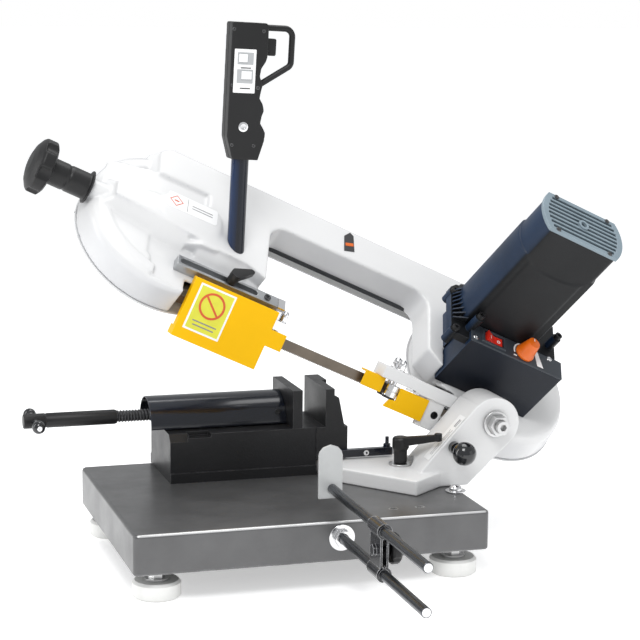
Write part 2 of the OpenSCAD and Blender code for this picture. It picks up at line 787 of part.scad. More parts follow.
module right_guard() {
  // x, z
  side = [[-110.6, -10], [-67, -10], [-67, -40], [-124, -40], [-119, -28.2], [-110.6, -28.2]];
  color("#f5b800") upright() {
    union() {
      box([-162, -12, -26], [-132.5, -9.5, -6.02]);
      box([-162, -12, -8.5], [-132.5, 8, -6.02]);
    }
    union() {
      plate(-16.02, 2.48, side);
      box([-105, -18.5, -40], [-73, 8, -38]);
    }
  }
}

// ---------- handle ----------
module handle_tube() {
  color("#131a28") difference() {
    handle() cyl_z(tube_d, 298, [0, 0, -40]);
    handle() cyl_z(tube_d - 4, 310, [0, 0, -45]);
    // trims the foot to the top of the seat block
    bow() translate([-500, -100, -266]) cube([300, 300, 300.1]);
  }
}
// x, z
grip_side = [[-25, 28], [-17, 0], [16, 0], [23, 24], [24, 34], [21, 40], [17, 46], [18.5, 55],
  [21, 62], [19, 70], [14.5, 77], [16, 86], [17.5, 92], [16, 98], [13.5, 104], [15, 114],
  [20, 122], [22, 128], [22, 167], [19, 170], [-24, 170], [-25, 168]];
// half of the grip whose back face is at y
module grip_half(y) {
  color("#1d1f22") handle() translate([0, 0, grip_z]) difference() {
    translate([grip_x, 0, 0]) plate(y, 15, grip_side);
    cyl_z(tube_d + 0.1, 144.5, [0, 0, -1]);
    box([9, -5.1, 131], [40, 5.1, 161]);
  }
}
module grip_left() { grip_half(-0.05); }
module grip_right() { grip_half(15.05); }
module trigger() {
  // x, z
  finger = [[0, -6], [5, -6], [5, -12], [12.5, -12], [14, -10.5], [14, 8], [12.5, 9.5], [0, 9.5]];
  color("#26282b") handle() translate([grip_x, 0, grip_z]) union() {
    box([12, -5, 136], [22, 5, 152]);
    translate([21, 0, 142]) plate(5, 10, finger);
  }
}
module trigger_guard() {
  rod_d = 8;
  low_bend = [56.5, 0, 119];
  color("#17191c") handle() translate([grip_x, 0, grip_z]) difference() {
    union() {
      cyl_x(rod_d, 28.5, [20, 0, 164.5]);
      translate([48.5, 0, 156.5]) rotate([90, 0, 0])
        rotate_extrude(angle = 90) translate([8, 0]) circle(d = rod_d);
      cyl_z(rod_d, 37.5, low_bend);
      translate(low_bend) sphere(d = 8.6);
      translate(low_bend) rotate([0, -123, 0]) cyl_z(rod_d, 44);
    }
    translate([-4, -16, -grip_z]) cube([26.5, 32, 400]);
  }
}

// ---------- moving vise parts ----------
module moving_jaw() {
  x = moving_face;
  color("#17191c") saw() difference() {
    union() {
      box([x - 13, jaw_front, bed + 0.05], [x, jaw_back, jaw_top]);
      box([x - 45, 97, bed + 0.05], [x - 12, 139, bed + 27]);
      box([x - 46, 110.05, bed - 14], [x - 24, 125.95, bed + 1]);
    }
    cyl_x(screw_d + 0.1, 45, [x - 60, screw_y, screw_z]);
    jaw_bevel(x - 20);
    box([x - 50, 80, bed + 5], [x - 13, 93, bed + 60]);
  }
}
module vise_cover() {
  color("#12161f") saw() difference() {
    cyl_x(74, 145 + moving_face - 13 - gap, [-145, screw_y, bed + 1.5]);
    cyl_x(71, 320, [-150, screw_y, bed + 1.5]);
    box([-160, 60, bed - 60], [60, 180, bed + 1.5]);
  }
}
module vise_screw() {
  color("#2b2e33") saw() union() {
    cyl_x(screw_d, 184 + moving_face - 13 - 2.1, [-184, screw_y, screw_z]);
    difference() {
      cyl_x(19, 120, [-303, screw_y, screw_z]);
      cyl_y(10.1, 40, [-289, screw_y - 20, screw_z]);
    }
  }
}
module tommy_bar() {
  color("#16181b") saw() translate([-289, screw_y, screw_z]) union() {
    cyl_y(10, 68, [0, -34, 0]);
    for (y = [-38, 38]) translate([0, y, 0]) sphere(d = 17);
  }
}

// ---------- work stop ----------
module stop_rod_upper() {
  // stop plate: x, and z with its sign reversed
  stop = [[-15, -95], [15, -95], [15, -148], [9, -158], [0, -161], [-9, -158], [-15, -148]];
  color("#5b5e63") saw() union() {
    cyl_y(12, 336, [stop_x, -467, stop_high]);
    color("gainsboro") translate([stop_x - 2, -131, 0]) rotate([-90, 0, 0]) prism(0, 4, stop);
  }
}
// two pressed plates clamp both rods, the knob sits on their common bolt
bolt_z = (stop_low + stop_high) / 2;
module stop_bracket() {
  color("#202328") saw() translate([0, bracket_y, 0]) difference() {
    union() {
      for (side = [0, 1]) translate([stop_x, 0, 0]) mirror([side, 0, 0]) {
        for (z = [stop_low, stop_high]) difference() {
          cyl_y(18, 36, [0, -18, z]);
          translate([-20, -30, z - 20]) cube([20.6, 60, 40]);
        }
        box([2.5, -18, stop_low + 7], [5, 18, stop_high - 7]);
      }
      cyl_x(7, 27, [stop_x - 9, 0, bolt_z]);
      translate([stop_x - 9, 0, bolt_z]) rotate([0, 90, 0]) hex_z(12, 5);
    }
    for (z = [stop_low, stop_high]) cyl_y(12.1, 60, [stop_x, -30, z]);
  }
}
module bracket_knob() {
  color("#15171a") saw() translate([stop_x + 5.1, bracket_y, bolt_z]) rotate([0, 90, 0])
    difference() {
      union() {
        cyl_z(16, 6);
        turned([[0, 0], [15, 0], [18, 3], [18, 10], [15, 13], [0, 13]], [0, 0, 5]);
      }
      cyl_z(7.1, 14.5, [0, 0, -1]);
      for (a = [0:60:359]) rotate([0, 0, a]) cyl_z(9, 16, [21, 0, 4]);
    }
}

function shown(name) = node == "all" || node == name;
if (shown("base_tray")) base_tray();
if (shown("feet")) feet();
if (shown("foot_studs")) foot_studs();
if (shown("stop_rod_lower")) stop_rod_lower();
if (shown("base_bolts")) base_bolts();
if (shown("vise_body")) vise_body();
if (shown("vise_nut")) vise_nut();
if (shown("fixed_jaw")) fixed_jaw();
if (shown("jaw_bolts")) jaw_bolts();
if (shown("mitre_pin")) mitre_pin();
if (shown("angle_bar")) angle_bar();
if (shown("swivel_arm")) swivel_arm();
if (shown("pivot_bushes")) pivot_bushes();
if (shown("clamp_stud")) clamp_stud();
if (shown("clamp_washer")) clamp_washer();
if (shown("clamp_lever")) clamp_lever();
if (shown("lock_pin")) lock_pin();
if (shown("pivot_stud")) pivot_stud();
if (shown("pivot_nut")) pivot_nut();
if (shown("bow_casting")) bow_casting();
if (shown("rear_cover")) rear_cover();
if (shown("idler_slide")) idler_slide();
if (shown("idler_wheel")) idler_wheel();
if (shown("tension_knob")) tension_knob();
if (shown("drive_wheel")) drive_wheel();
if (shown("drive_shaft")) drive_shaft();
if (shown("drive_gear")) drive_gear();
if (shown("shaft_bearings")) shaft_bearings();
if (shown("armature")) armature();
if (shown("gear_cover")) gear_cover();
if (shown("motor_housing")) motor_housing();
if (shown("motor_grille")) motor_grille();
if (shown("bow_screws")) bow_screws();
if (shown("control_box")) control_box();
if (shown("control_panel")) control_panel();
if (shown("rocker_switch")) rocker_switch();
if (shown("speed_knob")) speed_knob();
if (shown("blade")) blade();
if (shown("guide_bar")) guide_bar();
if (shown("left_guide_block")) left_guide_block();
if (shown("left_front_roller")) left_front_roller();
if (shown("left_rear_roller")) left_rear_roller();
if (shown("left_guard")) left_guard();
if (shown("guide_lock_lever")) guide_lock_lever();
if (shown("right_guide_block")) right_guide_block();
if (shown("right_front_roller")) right_front_roller();
if (shown("right_rear_roller")) right_rear_roller();
if (shown("right_guard")) right_guard();
if (shown("handle_tube")) handle_tube();
if (shown("grip_left")) grip_left();
if (shown("grip_right")) grip_right();
if (shown("trigger")) trigger();
if (shown("trigger_guard")) trigger_guard();
if (shown("moving_jaw")) moving_jaw();
if (shown("vise_cover")) vise_cover();
if (shown("vise_screw")) vise_screw();
if (shown("tommy_bar")) tommy_bar();
if (shown("stop_rod_upper")) stop_rod_upper();
if (shown("stop_bracket")) stop_bracket();
if (shown("bracket_knob")) bracket_knob();
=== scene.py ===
# A mitring band saw on a sheet-metal base, with a vise and a swivelling arm. The arm carries a
# tilted saw bow with the blade, two wheels, motor, control box and handle.
# The scene is in metres, +Z up. The saw's front faces -Y and the motor end of the bow is at +X.
# Shapes are written in millimetres, each in one of the local frames set out below.
import bpy, bmesh, math, random
from mathutils import Vector, Matrix


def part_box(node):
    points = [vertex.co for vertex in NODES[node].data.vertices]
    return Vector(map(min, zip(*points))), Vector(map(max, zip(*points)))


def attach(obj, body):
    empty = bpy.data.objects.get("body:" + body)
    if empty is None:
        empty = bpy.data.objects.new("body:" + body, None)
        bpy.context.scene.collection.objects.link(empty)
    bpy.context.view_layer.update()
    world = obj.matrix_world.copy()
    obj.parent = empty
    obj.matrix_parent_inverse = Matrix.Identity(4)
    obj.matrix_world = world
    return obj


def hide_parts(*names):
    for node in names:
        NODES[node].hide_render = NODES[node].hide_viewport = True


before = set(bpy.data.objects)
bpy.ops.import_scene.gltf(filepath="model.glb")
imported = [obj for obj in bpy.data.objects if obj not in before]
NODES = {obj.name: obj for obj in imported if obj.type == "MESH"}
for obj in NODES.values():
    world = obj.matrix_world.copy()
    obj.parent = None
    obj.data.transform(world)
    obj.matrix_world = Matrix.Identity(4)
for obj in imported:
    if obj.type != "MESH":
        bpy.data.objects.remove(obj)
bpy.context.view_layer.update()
random.seed(7)

# ---------------------------------------------------------------- frames
ORIGIN_X, ORIGIN_Y, FLOOR_DROP = 64.7, -130.1, 7.0   # scene origin on the drawing, floor at z = -7
MM = 0.001
SLOPE = math.radians(25)          # the blade runs down toward +X
LEAN = math.radians(40)           # the wheels' plane turns back about the blade's line
HANDLE_TILT = math.radians(2.8)


def place(x, y, z):
    """A drawing point in millimetres as a scene point in metres."""
    return Vector(((x - ORIGIN_X) / 1000, (y - ORIGIN_Y) / 1000, (z + FLOOR_DROP) / 1000))


def make_frame(origin, x_axis, y_axis, z_axis):
    """A matrix from local millimetres to scene metres."""
    rows = [(x_axis[i] * MM, y_axis[i] * MM, z_axis[i] * MM, origin[i]) for i in range(3)]
    return Matrix((*rows, (0, 0, 0, 1)))


def turn_about(axis, degrees):
    return Matrix.Rotation(math.radians(degrees), 4, axis)


ALONG = Vector((math.cos(SLOPE), 0, -math.sin(SLOPE)))
ABOVE = Vector((math.sin(SLOPE), 0, math.cos(SLOPE)))
BACK = Vector((0, 1, 0))
ACROSS = BACK * math.cos(LEAN) + ABOVE * math.sin(LEAN)
AXLE = -BACK * math.sin(LEAN) + ABOVE * math.cos(LEAN)
PIVOT = place(273, 34, 156)
BOW = make_frame(PIVOT, ALONG, ACROSS, AXLE)       # x along the blade, y across wheels, z on axles
BLADE = make_frame(PIVOT, ALONG, BACK, ABOVE)      # x along the blade, y to the back, z up
GROUND = make_frame(place(0, 0, 0), (1, 0, 0), (0, 1, 0), (0, 0, 1))
HANDLE = make_frame(place(-39, 65.7, 372), (math.cos(HANDLE_TILT), 0, -math.sin(HANDLE_TILT)),
                    (0, 1, 0), (math.sin(HANDLE_TILT), 0, math.cos(HANDLE_TILT)))
HANDLE_BASE = 116                 # height in HANDLE that the grip's own sizes start from

# Centres in BOW
IDLER_X, DRIVE_X, WHEEL_Y = -461, 35, 80
MOTOR_X, MOTOR_Y, MOTOR_RADIUS = -23, 78, 60.0
DIAL_X, DIAL_Y = 17, 31


# ---------------------------------------------------------------- materials
class Shader:
    """A material with its Principled node, and helpers that add nodes to it."""

    def __init__(self, name):
        self.material = bpy.data.materials.new(name)
        self.material.use_nodes = True
        self.tree = self.material.node_tree
        self.tree.nodes.clear()
        output = self.node("OutputMaterial")
        self.surface = self.node("BsdfPrincipled")
        self.put(self.surface.outputs[0], output.inputs[0])

    def node(self, kind):
        return self.tree.nodes.new("ShaderNode" + kind)

    def put(self, value, socket):
        """Feed an output, a number, a colour or a direction into a socket."""
        if isinstance(value, bpy.types.NodeSocket):
            self.tree.links.new(value, socket)
        elif isinstance(value, tuple):
            socket.default_value = (*value, 1)[:len(socket.default_value)]
        else:
            socket.default_value = value

    def mapping(self, stretch=(1, 1, 1), turn=(0, 0, 0)):
        coords = self.node("TexCoord")
        node = self.node("Mapping")
        self.put(stretch, node.inputs["Scale"])
        self.put(turn, node.inputs["Rotation"])
        self.put(coords.outputs["Object"], node.inputs[0])
        return node.outputs[0]

    def noise(self, scale, detail=3.0, rough=0.55, mapping=None):
        mapping = mapping or self.mapping()
        node = self.node("TexNoise")
        self.put(scale, node.inputs["Scale"])
        self.put(detail, node.inputs["Detail"])
        self.put(rough, node.inputs["Roughness"])
        self.put(mapping, node.inputs["Vector"])
        return node.outputs[0]

    def ramp(self, source, start, end, levels=(0, 1)):
        node = self.node("ValToRGB")
        for i, position in enumerate((start, end)):
            element = node.color_ramp.elements[i]
            element.position = position
            element.color = (levels[i], levels[i], levels[i], 1)
        self.put(source, node.inputs[0])
        return node.outputs[0]

    def mix(self, factor, first, second):
        node = self.node("Mix")
        node.data_type = "RGBA"
        self.put(factor, node.inputs[0])
        self.put(first, node.inputs[6])
        self.put(second, node.inputs[7])
        return node.outputs[2]

    def math(self, operation, *values):
        node = self.node("Math")
        node.operation = operation
        for i, value in enumerate(values):
            self.put(value, node.inputs[i])
        return node.outputs[0]

    def dot(self, first, second):
        node = self.node("VectorMath")
        node.operation = "DOT_PRODUCT"
        self.put(first, node.inputs[0])
        self.put(second, node.inputs[1])
        return node.outputs["Value"]

    def dirt_mask(self, amount):
        spots = self.noise(scale=23.0, detail=6, rough=0.7)
        return self.math("MULTIPLY", self.ramp(spots, 0.52, 0.78), amount)

    def wear_and_highlight_mask(self, amount, radius):
        """Edges, found where the rounded normal leaves the true one, broken up by noise; their
        colour is partly wear and partly a painted highlight.
        """
        bevel = self.node("Bevel")
        bevel.samples = 4
        self.put(radius, bevel.inputs[0])
        geometry = self.node("NewGeometry")
        facing = self.dot(bevel.outputs[0], geometry.outputs["Normal"])
        edge = self.ramp(facing, 0.80, 0.985, levels=(1, 0))
        breaks = self.ramp(self.noise(scale=65.0, detail=5, rough=0.7), 0.30, 0.62)
        return self.math("MULTIPLY", self.math("MULTIPLY", edge, breaks), amount)

    def painted_light_and_shade_mask(self, direction, limits):
        """Faces that look along a direction, varied by noise: painted light and shade that follows
        which way a face turns.
        """
        geometry = self.node("NewGeometry")
        facing = self.dot(geometry.outputs["Normal"], direction)
        clouds = self.noise(scale=12.0, detail=4, rough=0.6)
        return self.math("MULTIPLY", self.ramp(facing, *limits), self.math("ADD", clouds, 0.35))

    def grazing_shade_mask(self):
        # Painted shade: darker towards grazing angles, drawing a grey outline at the silhouette
        node = self.node("LayerWeight")
        self.put(0.5, node.inputs["Blend"])
        return self.ramp(node.outputs["Facing"], 0.72, 0.97)

    def crevice_shade_mask(self, amount, reach):
        # Painted shade: ambient occlusion darkens the colour in crevices and recesses
        node = self.node("AmbientOcclusion")
        node.samples = 6
        self.put(reach, node.inputs["Distance"])
        return self.math("MULTIPLY", self.math("SUBTRACT", 1.0, node.outputs["AO"]), amount)


MATERIALS = {}


def scaled(color, factor):
    return tuple(min(1, c * factor) for c in color)


# vary: spread of the base colour. stretch, turn: mapping of the fine grain.
# wear: colour of edges, partly worn edges and partly a painted highlight. tint: painted light and
# shade on faces along painted_light_and_shade_dir. rim: painted shade at grazing angles.
# ao: strength of the darker ao_color, painted shade in crevices. Radii, reaches and depths are in
# metres.
def surface(name, base, rough, metal=0.0, coat=0.0, spec=0.5, vary=0.2, vary_scale=9.0,
            rough_vary=0.10, rough_scale=40.0, bump=0.1, bump_scale=300, bump_depth=0.0004,
            stretch=(1, 1, 1), turn=(0, 0, 0), wear_and_highlight=None, wear_and_highlight_amount=0.5, wear_and_highlight_radius=0.0012,
            ao=0.0, ao_reach=0.03, ao_color=None, dirt=0.0, painted_light_and_shade=None,
            painted_light_and_shade_dir=(-0.88, -0.10, 0.46), painted_light_and_shade_range=(0.25, 0.95), rim=None):
    shader = Shader(name)
    grain = shader.mapping(stretch, turn)
    tone = shader.ramp(shader.noise(vary_scale, detail=4), 0.3, 0.7)
    color = shader.mix(tone, scaled(base, 1 - vary), scaled(base, 1 + vary))
    fine = shader.noise(bump_scale, detail=3, rough=0.6, mapping=grain)
    patches = shader.noise(rough_scale, detail=4, rough=0.6, mapping=grain)
    roughness = shader.math("MULTIPLY_ADD", shader.math("SUBTRACT", patches, 0.5),
                            2 * rough_vary, rough)
    if dirt:
        color = shader.mix(shader.dirt_mask(dirt), color, scaled(base, 0.55))
    # Edge colour: partly worn edges, partly a painted highlight along them
    if wear_and_highlight:
        color = shader.mix(shader.wear_and_highlight_mask(wear_and_highlight_amount, wear_and_highlight_radius), color, wear_and_highlight)
    # Painted light and shade: faces turned along painted_light_and_shade_dir take the tint colour
    if painted_light_and_shade:
        color = shader.mix(shader.painted_light_and_shade_mask(painted_light_and_shade_dir, painted_light_and_shade_range), color, painted_light_and_shade)
    # Painted shade at grazing angles
    if rim:
        color = shader.mix(shader.grazing_shade_mask(), color, rim)
    # Painted shade in crevices
    if ao:
        color = shader.mix(shader.crevice_shade_mask(ao, ao_reach), color,
                           ao_color or scaled(base, 0.35))
    relief = shader.node("Bump")
    shader.put(bump, relief.inputs["Strength"])
    shader.put(bump_depth, relief.inputs["Distance"])
    shader.put(fine, relief.inputs["Height"])
    for socket, value in (("Base Color", color), ("Roughness", roughness), ("Metallic", metal),
                          ("Coat Weight", coat), ("Coat Roughness", 0.12),
                          ("Specular IOR Level", spec), ("Normal", relief.outputs[0])):
        shader.put(value, shader.surface.inputs[socket])
    MATERIALS[name] = shader.material


# Painted shade: darker colour on faces turned down and to the left, at grazing angles and in
# crevices
surface("white_paint", (0.715, 0.715, 0.715), rough=0.32, coat=0.12, painted_light_and_shade=(0.56, 0.565, 0.58),
        painted_light_and_shade_dir=(-0.62, -0.35, -0.70), rim=(0.40, 0.41, 0.43), vary=0.02, rough_vary=0.06,
        bump=0.12, bump_scale=260, bump_depth=0.0005, ao=0.55, ao_reach=0.02,
        ao_color=(0.46, 0.47, 0.49))
# Painted shade in crevices
surface("white_arm", (0.74, 0.74, 0.74), rough=0.42, coat=0.10, vary=0.03, rough_vary=0.08,
        bump=0.28, bump_scale=330, bump_depth=0.0006, ao=0.40, ao_color=(0.45, 0.46, 0.47),
        wear_and_highlight=(0.62, 0.62, 0.62), wear_and_highlight_amount=0.35, dirt=0.06)
# Painted highlight on the rounded edges and on faces turned to the front and up
surface("base_grey", (0.115, 0.115, 0.117), rough=0.34, metal=0.45, coat=0.10, vary=0.14,
        vary_scale=14, rough_vary=0.14, rough_scale=18, bump=0.12, bump_scale=520,
        wear_and_highlight=(0.85, 0.85, 0.85), wear_and_highlight_amount=1.0, wear_and_highlight_radius=0.0035, dirt=0.30,
        painted_light_and_shade=(0.72, 0.72, 0.72), painted_light_and_shade_dir=(0.0, -0.707, 0.707), painted_light_and_shade_range=(0.90, 0.985))
surface("black_cast", (0.0075, 0.0075, 0.0085), rough=0.42, coat=0.06, spec=0.35, vary=0.25,
        bump=0.35, bump_scale=480, bump_depth=0.0006, wear_and_highlight=(0.13, 0.13, 0.135), wear_and_highlight_amount=0.7,
        wear_and_highlight_radius=0.0014, dirt=0.2)
# black_sheet, motor_black, box_black and tube_blue: painted blue reflection on faces turned to the
# left
surface("black_sheet", (0.0045, 0.006, 0.011), rough=0.20, coat=0.3, spec=0.4,
        painted_light_and_shade=(0.006, 0.012, 0.03), bump=0.08, bump_scale=160, wear_and_highlight=(0.25, 0.26, 0.28),
        wear_and_highlight_amount=0.6)
surface("motor_black", (0.0060, 0.0066, 0.0078), rough=0.43, coat=0.03, spec=0.25,
        painted_light_and_shade=(0.012, 0.030, 0.070), bump=0.30, bump_scale=620, bump_depth=0.0005,
        wear_and_highlight=(0.12, 0.14, 0.17), wear_and_highlight_amount=0.6)
surface("box_black", (0.0050, 0.0078, 0.0150), rough=0.42, coat=0.05, spec=0.28,
        painted_light_and_shade=(0.010, 0.026, 0.060), bump=0.35, bump_scale=700, bump_depth=0.0005,
        wear_and_highlight=(0.14, 0.16, 0.19), wear_and_highlight_amount=0.7)
surface("panel", (0.030, 0.037, 0.046), rough=0.42, vary=0.12, bump=0.12, bump_scale=600,
        wear_and_highlight=(0.2, 0.22, 0.25))
# Painted shade in the slots of the grille
surface("grille", (0.21, 0.27, 0.31), rough=0.38, vary=0.12, bump=0.2, bump_scale=500,
        wear_and_highlight=(0.45, 0.5, 0.55), wear_and_highlight_amount=0.6, ao=0.6, ao_reach=0.006)
surface("plastic", (0.0085, 0.0085, 0.009), rough=0.44, spec=0.38, bump=0.30, bump_scale=900,
        bump_depth=0.0003, wear_and_highlight=(0.10, 0.10, 0.11))
surface("plastic_gloss", (0.006, 0.007, 0.009), rough=0.14, coat=0.5, rough_vary=0.05, bump=0.03)
surface("tube_blue", (0.004, 0.006, 0.012), rough=0.22, coat=0.3, spec=0.3,
        painted_light_and_shade=(0.010, 0.032, 0.10), bump=0.06, bump_scale=240, wear_and_highlight=(0.12, 0.14, 0.18),
        wear_and_highlight_amount=0.4)
# Chrome and zinc: painted shade in crevices
surface("chrome", (0.78, 0.78, 0.79), rough=0.13, metal=1.0, vary=0.05, rough_vary=0.05,
        bump=0.05, bump_scale=500, ao=0.4, ao_reach=0.004)
surface("zinc", (0.62, 0.62, 0.62), rough=0.30, metal=1.0, vary=0.12, rough_vary=0.12,
        bump=0.12, bump_scale=380, ao=0.4, ao_reach=0.004)
surface("dark_rod", (0.085, 0.09, 0.10), rough=0.28, metal=0.9, rough_vary=0.12, bump=0.15,
        bump_scale=260, stretch=(30, 0.6, 30), dirt=0.2)
surface("screw_steel", (0.035, 0.035, 0.038), rough=0.34, metal=0.5, rough_vary=0.12, bump=0.12,
        wear_and_highlight=(0.5, 0.5, 0.5), wear_and_highlight_amount=0.6)
surface("bar_steel", (0.42, 0.43, 0.44), rough=0.34, metal=0.95, vary=0.1, rough_vary=0.12,
        bump=0.25, bump_scale=220, stretch=(1, 14, 14), turn=(0, -SLOPE, 0),
        wear_and_highlight=(0.8, 0.8, 0.8), wear_and_highlight_amount=0.6)
surface("alu", (0.60, 0.61, 0.62), rough=0.38, metal=0.95, vary=0.08, bump=0.2)
surface("blade", (0.155, 0.130, 0.105), rough=0.34, metal=0.85, vary=0.18, vary_scale=22,
        rough_vary=0.12, bump=0.3, bump_scale=200, bump_depth=0.0003, stretch=(1, 18, 18),
        turn=(0, -SLOPE, 0))
# Painted shade: darker orange in crevices
surface("yellow", (0.86, 0.475, 0.0), rough=0.42, spec=0.15, vary=0.05, bump_scale=320,
        wear_and_highlight=(0.95, 0.62, 0.12), ao=0.45, ao_reach=0.012, ao_color=(0.55, 0.24, 0.0))
# Painted shade in crevices
surface("foot", (0.80, 0.80, 0.78), rough=0.46, vary=0.04, bump=0.12, bump_scale=420, ao=0.5,
        ao_reach=0.01, ao_color=(0.35, 0.35, 0.34), dirt=0.12)
surface("red", (0.62, 0.022, 0.010), rough=0.28, coat=0.3, vary=0.06, bump=0.03)
surface("orange", (0.70, 0.125, 0.003), rough=0.36, coat=0.15, vary=0.06, bump_scale=500)
surface("label", (0.86, 0.86, 0.86), rough=0.42, vary=0.02, bump=0.03)
surface("label_yellow", (0.68, 0.66, 0.045), rough=0.42, vary=0.06, vary_scale=60, bump=0.03)
surface("mark_red", (0.62, 0.09, 0.02), rough=0.45, vary=0.1, bump=0.02)
surface("mark_grey", (0.22, 0.22, 0.23), rough=0.5, vary=0.1, bump=0.02)
surface("mark_black", (0.03, 0.03, 0.032), rough=0.5, vary=0.1, bump=0.02)
surface("slider_grey", (0.42, 0.43, 0.44), rough=0.45, vary=0.05, bump=0.02)
surface("plate_grey", (0.52, 0.53, 0.53), rough=0.42, metal=0.2, vary=0.08, bump=0.2,
        wear_and_highlight=(0.8, 0.8, 0.8), wear_and_highlight_amount=0.6, dirt=0.2)
surface("bracket_black", (0.010, 0.011, 0.014), rough=0.26, coat=0.3, wear_and_highlight=(0.85, 0.85, 0.87),
        wear_and_highlight_amount=1.0, wear_and_highlight_radius=0.0016)
# Flat black for painted shade
surface("shade_black", (0.0015, 0.0015, 0.002), rough=0.9, spec=0.0)
surface("bronze", (0.55, 0.33, 0.12), rough=0.35, metal=0.9, vary=0.1)
surface("copper", (0.45, 0.22, 0.11), rough=0.4, metal=0.8, bump=0.4, bump_scale=400,
        stretch=(1, 1, 6))
surface("gasket", (0.02, 0.022, 0.025), rough=0.5)


# ---------------------------------------------------------------- objects
def build_mesh(name, part, weld=False):
    """A mesh from a (vertices, faces) part, with its normals turned outward."""
    verts, faces = part
    mesh = bpy.data.meshes.new(name)
    mesh.from_pydata([tuple(v) for v in verts], [], faces)
    if weld:
        mesh.validate()
    edit = bmesh.new()
    edit.from_mesh(mesh)
    if weld:
        bmesh.ops.remove_doubles(edit, verts=edit.verts, dist=1e-6)
    bmesh.ops.recalc_face_normals(edit, faces=edit.faces)
    edit.to_mesh(mesh)
    edit.free()
    return mesh


def link_object(name, mesh):
    ob = bpy.data.objects.new(name, mesh)
    bpy.context.scene.collection.objects.link(ob)
    return ob


def shade(mesh, smooth=True):
    for polygon in mesh.polygons:
        polygon.use_smooth = smooth


def mark_sharp(ob, angle):
    """Keep edges steeper than angle, in degrees, sharp under smooth shading."""
    edit = bmesh.new()
    edit.from_mesh(ob.data)
    limit = math.radians(angle)
    for edge in edit.edges:
        if len(edge.link_faces) == 2 and edge.calc_face_angle(0) > limit:
            edge.smooth = False
    edit.to_mesh(ob.data)
    edit.free()


def round_edges(ob, width, segments, angle):
    """Bevel edges steeper than angle; width in millimetres."""
    bevel = ob.modifiers.new("bevel", "BEVEL")
    bevel.width = width / 1000
    bevel.segments = segments
    bevel.limit_method = "ANGLE"
    bevel.angle_limit = math.radians(angle)
    bevel.harden_normals = False
    bevel.use_clamp_overlap = True
    normals = ob.modifiers.new("wn", "WEIGHTED_NORMAL")
    normals.keep_sharp = True
    normals.weight = 60


def add(name, part, frame, material, body, bevel=0.0, segments=2, angle=30, smooth=True,
        replaces=None):
    verts, faces = part
    if frame is not None:
        verts = [frame @ Vector(v) for v in verts]
    mesh = build_mesh(name, (verts, faces), weld=True)
    ob = link_object(name, mesh)
    mesh.materials.append(MATERIALS[material])
    shade(mesh, smooth)
    if bevel:
        round_edges(ob, bevel, segments, angle)
    elif smooth:
        mark_sharp(ob, angle)
    if body:
        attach(ob, body)
    if replaces:
        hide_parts(replaces)
    return ob


def bake_modifiers(ob):
    graph = bpy.context.evaluated_depsgraph_get()
    mesh = bpy.data.meshes.new_from_object(ob.evaluated_get(graph))
    ob.modifiers.clear()
    ob.data = mesh


def subtract(ob, cutter):
    boolean = ob.modifiers.new("cut", "BOOLEAN")
    boolean.operation = "DIFFERENCE"
    boolean.solver = "EXACT"
    boolean.object = cutter
    bake_modifiers(ob)
    bpy.data.objects.remove(cutter)


# ---------------------------------------------------------------- parts: (vertices, faces)
def loft(first, second, step=-1):
    """Join two rings and cap both ends; step is the order round the first cap."""
    n = len(first)
    caps = [tuple(range(n))[::step], tuple(range(n, 2 * n))[::-step]]
    sides = [(i, (i + 1) % n, (i + 1) % n + n, i + n) for i in range(n)]
    return list(first) + list(second), caps + sides


def frustum(lower, upper, z0, z1):
    return loft([(x, y, z0) for x, y in lower], [(x, y, z1) for x, y in upper])


def prism(outline, z0, z1):
    return frustum(outline, outline, z0, z1)


def cross_prism(profile, y0, y1):
    """An (x, z) profile drawn out along y."""
    return loft([(x, y0, z) for x, z in profile], [(x, y1, z) for x, z in profile], step=1)


def box(low, high):
    (x0, y0, z0), (x1, y1, z1) = low, high
    return prism([(x0, y0), (x1, y0), (x1, y1), (x0, y1)], z0, z1)


def boxes(rows, z0, z1):
    """Boxes of one height from rows of x0, y0, x1, y1."""
    return join([box((x0, y0, z0), (x1, y1, z1)) for x0, y0, x1, y1 in rows])


def lathe(profile, segments=48, axis="z", centre=(0, 0, 0)):
    """Turn a profile of (radius, height) about an axis."""
    verts, faces, count = [], [], len(profile)
    for i in range(segments):
        angle = 2 * math.pi * i / segments
        for radius, h in profile:
            x, y = radius * math.cos(angle), radius * math.sin(angle)
            point = {"z": (x, y, h), "x": (h, x, y), "y": (x, h, y)}[axis]
            verts.append(tuple(point[j] + centre[j] for j in range(3)))
    for i in range(segments):
        j = (i + 1) % segments
        for k in range(count - 1):
            faces.append((i * count + k, j * count + k, j * count + k + 1, i * count + k + 1))
    return verts, faces


NEAR_AXIS = 0.01    # radius of the tiny hole left where a turned part meets its axis


def disc(radius, h0, h1, segments=32, axis="z", centre=(0, 0, 0)):
    return lathe([(NEAR_AXIS, h0), (radius, h0), (radius, h1), (NEAR_AXIS, h1)],
                 segments, axis, centre)


def join(parts):
    verts, faces = [], []
    for part_verts, part_faces in parts:
        start = len(verts)
        verts += list(part_verts)
        faces += [tuple(i + start for i in face) for face in part_faces]
    return verts, faces


def moved(part, offset=(0, 0, 0), turn=None):
    """Apply the matrix first, then the offset."""
    verts, faces = part
    if turn is not None:
        verts = [turn @ Vector(v) for v in verts]
    return [tuple(v[i] + offset[i] for i in range(3)) for v in verts], faces


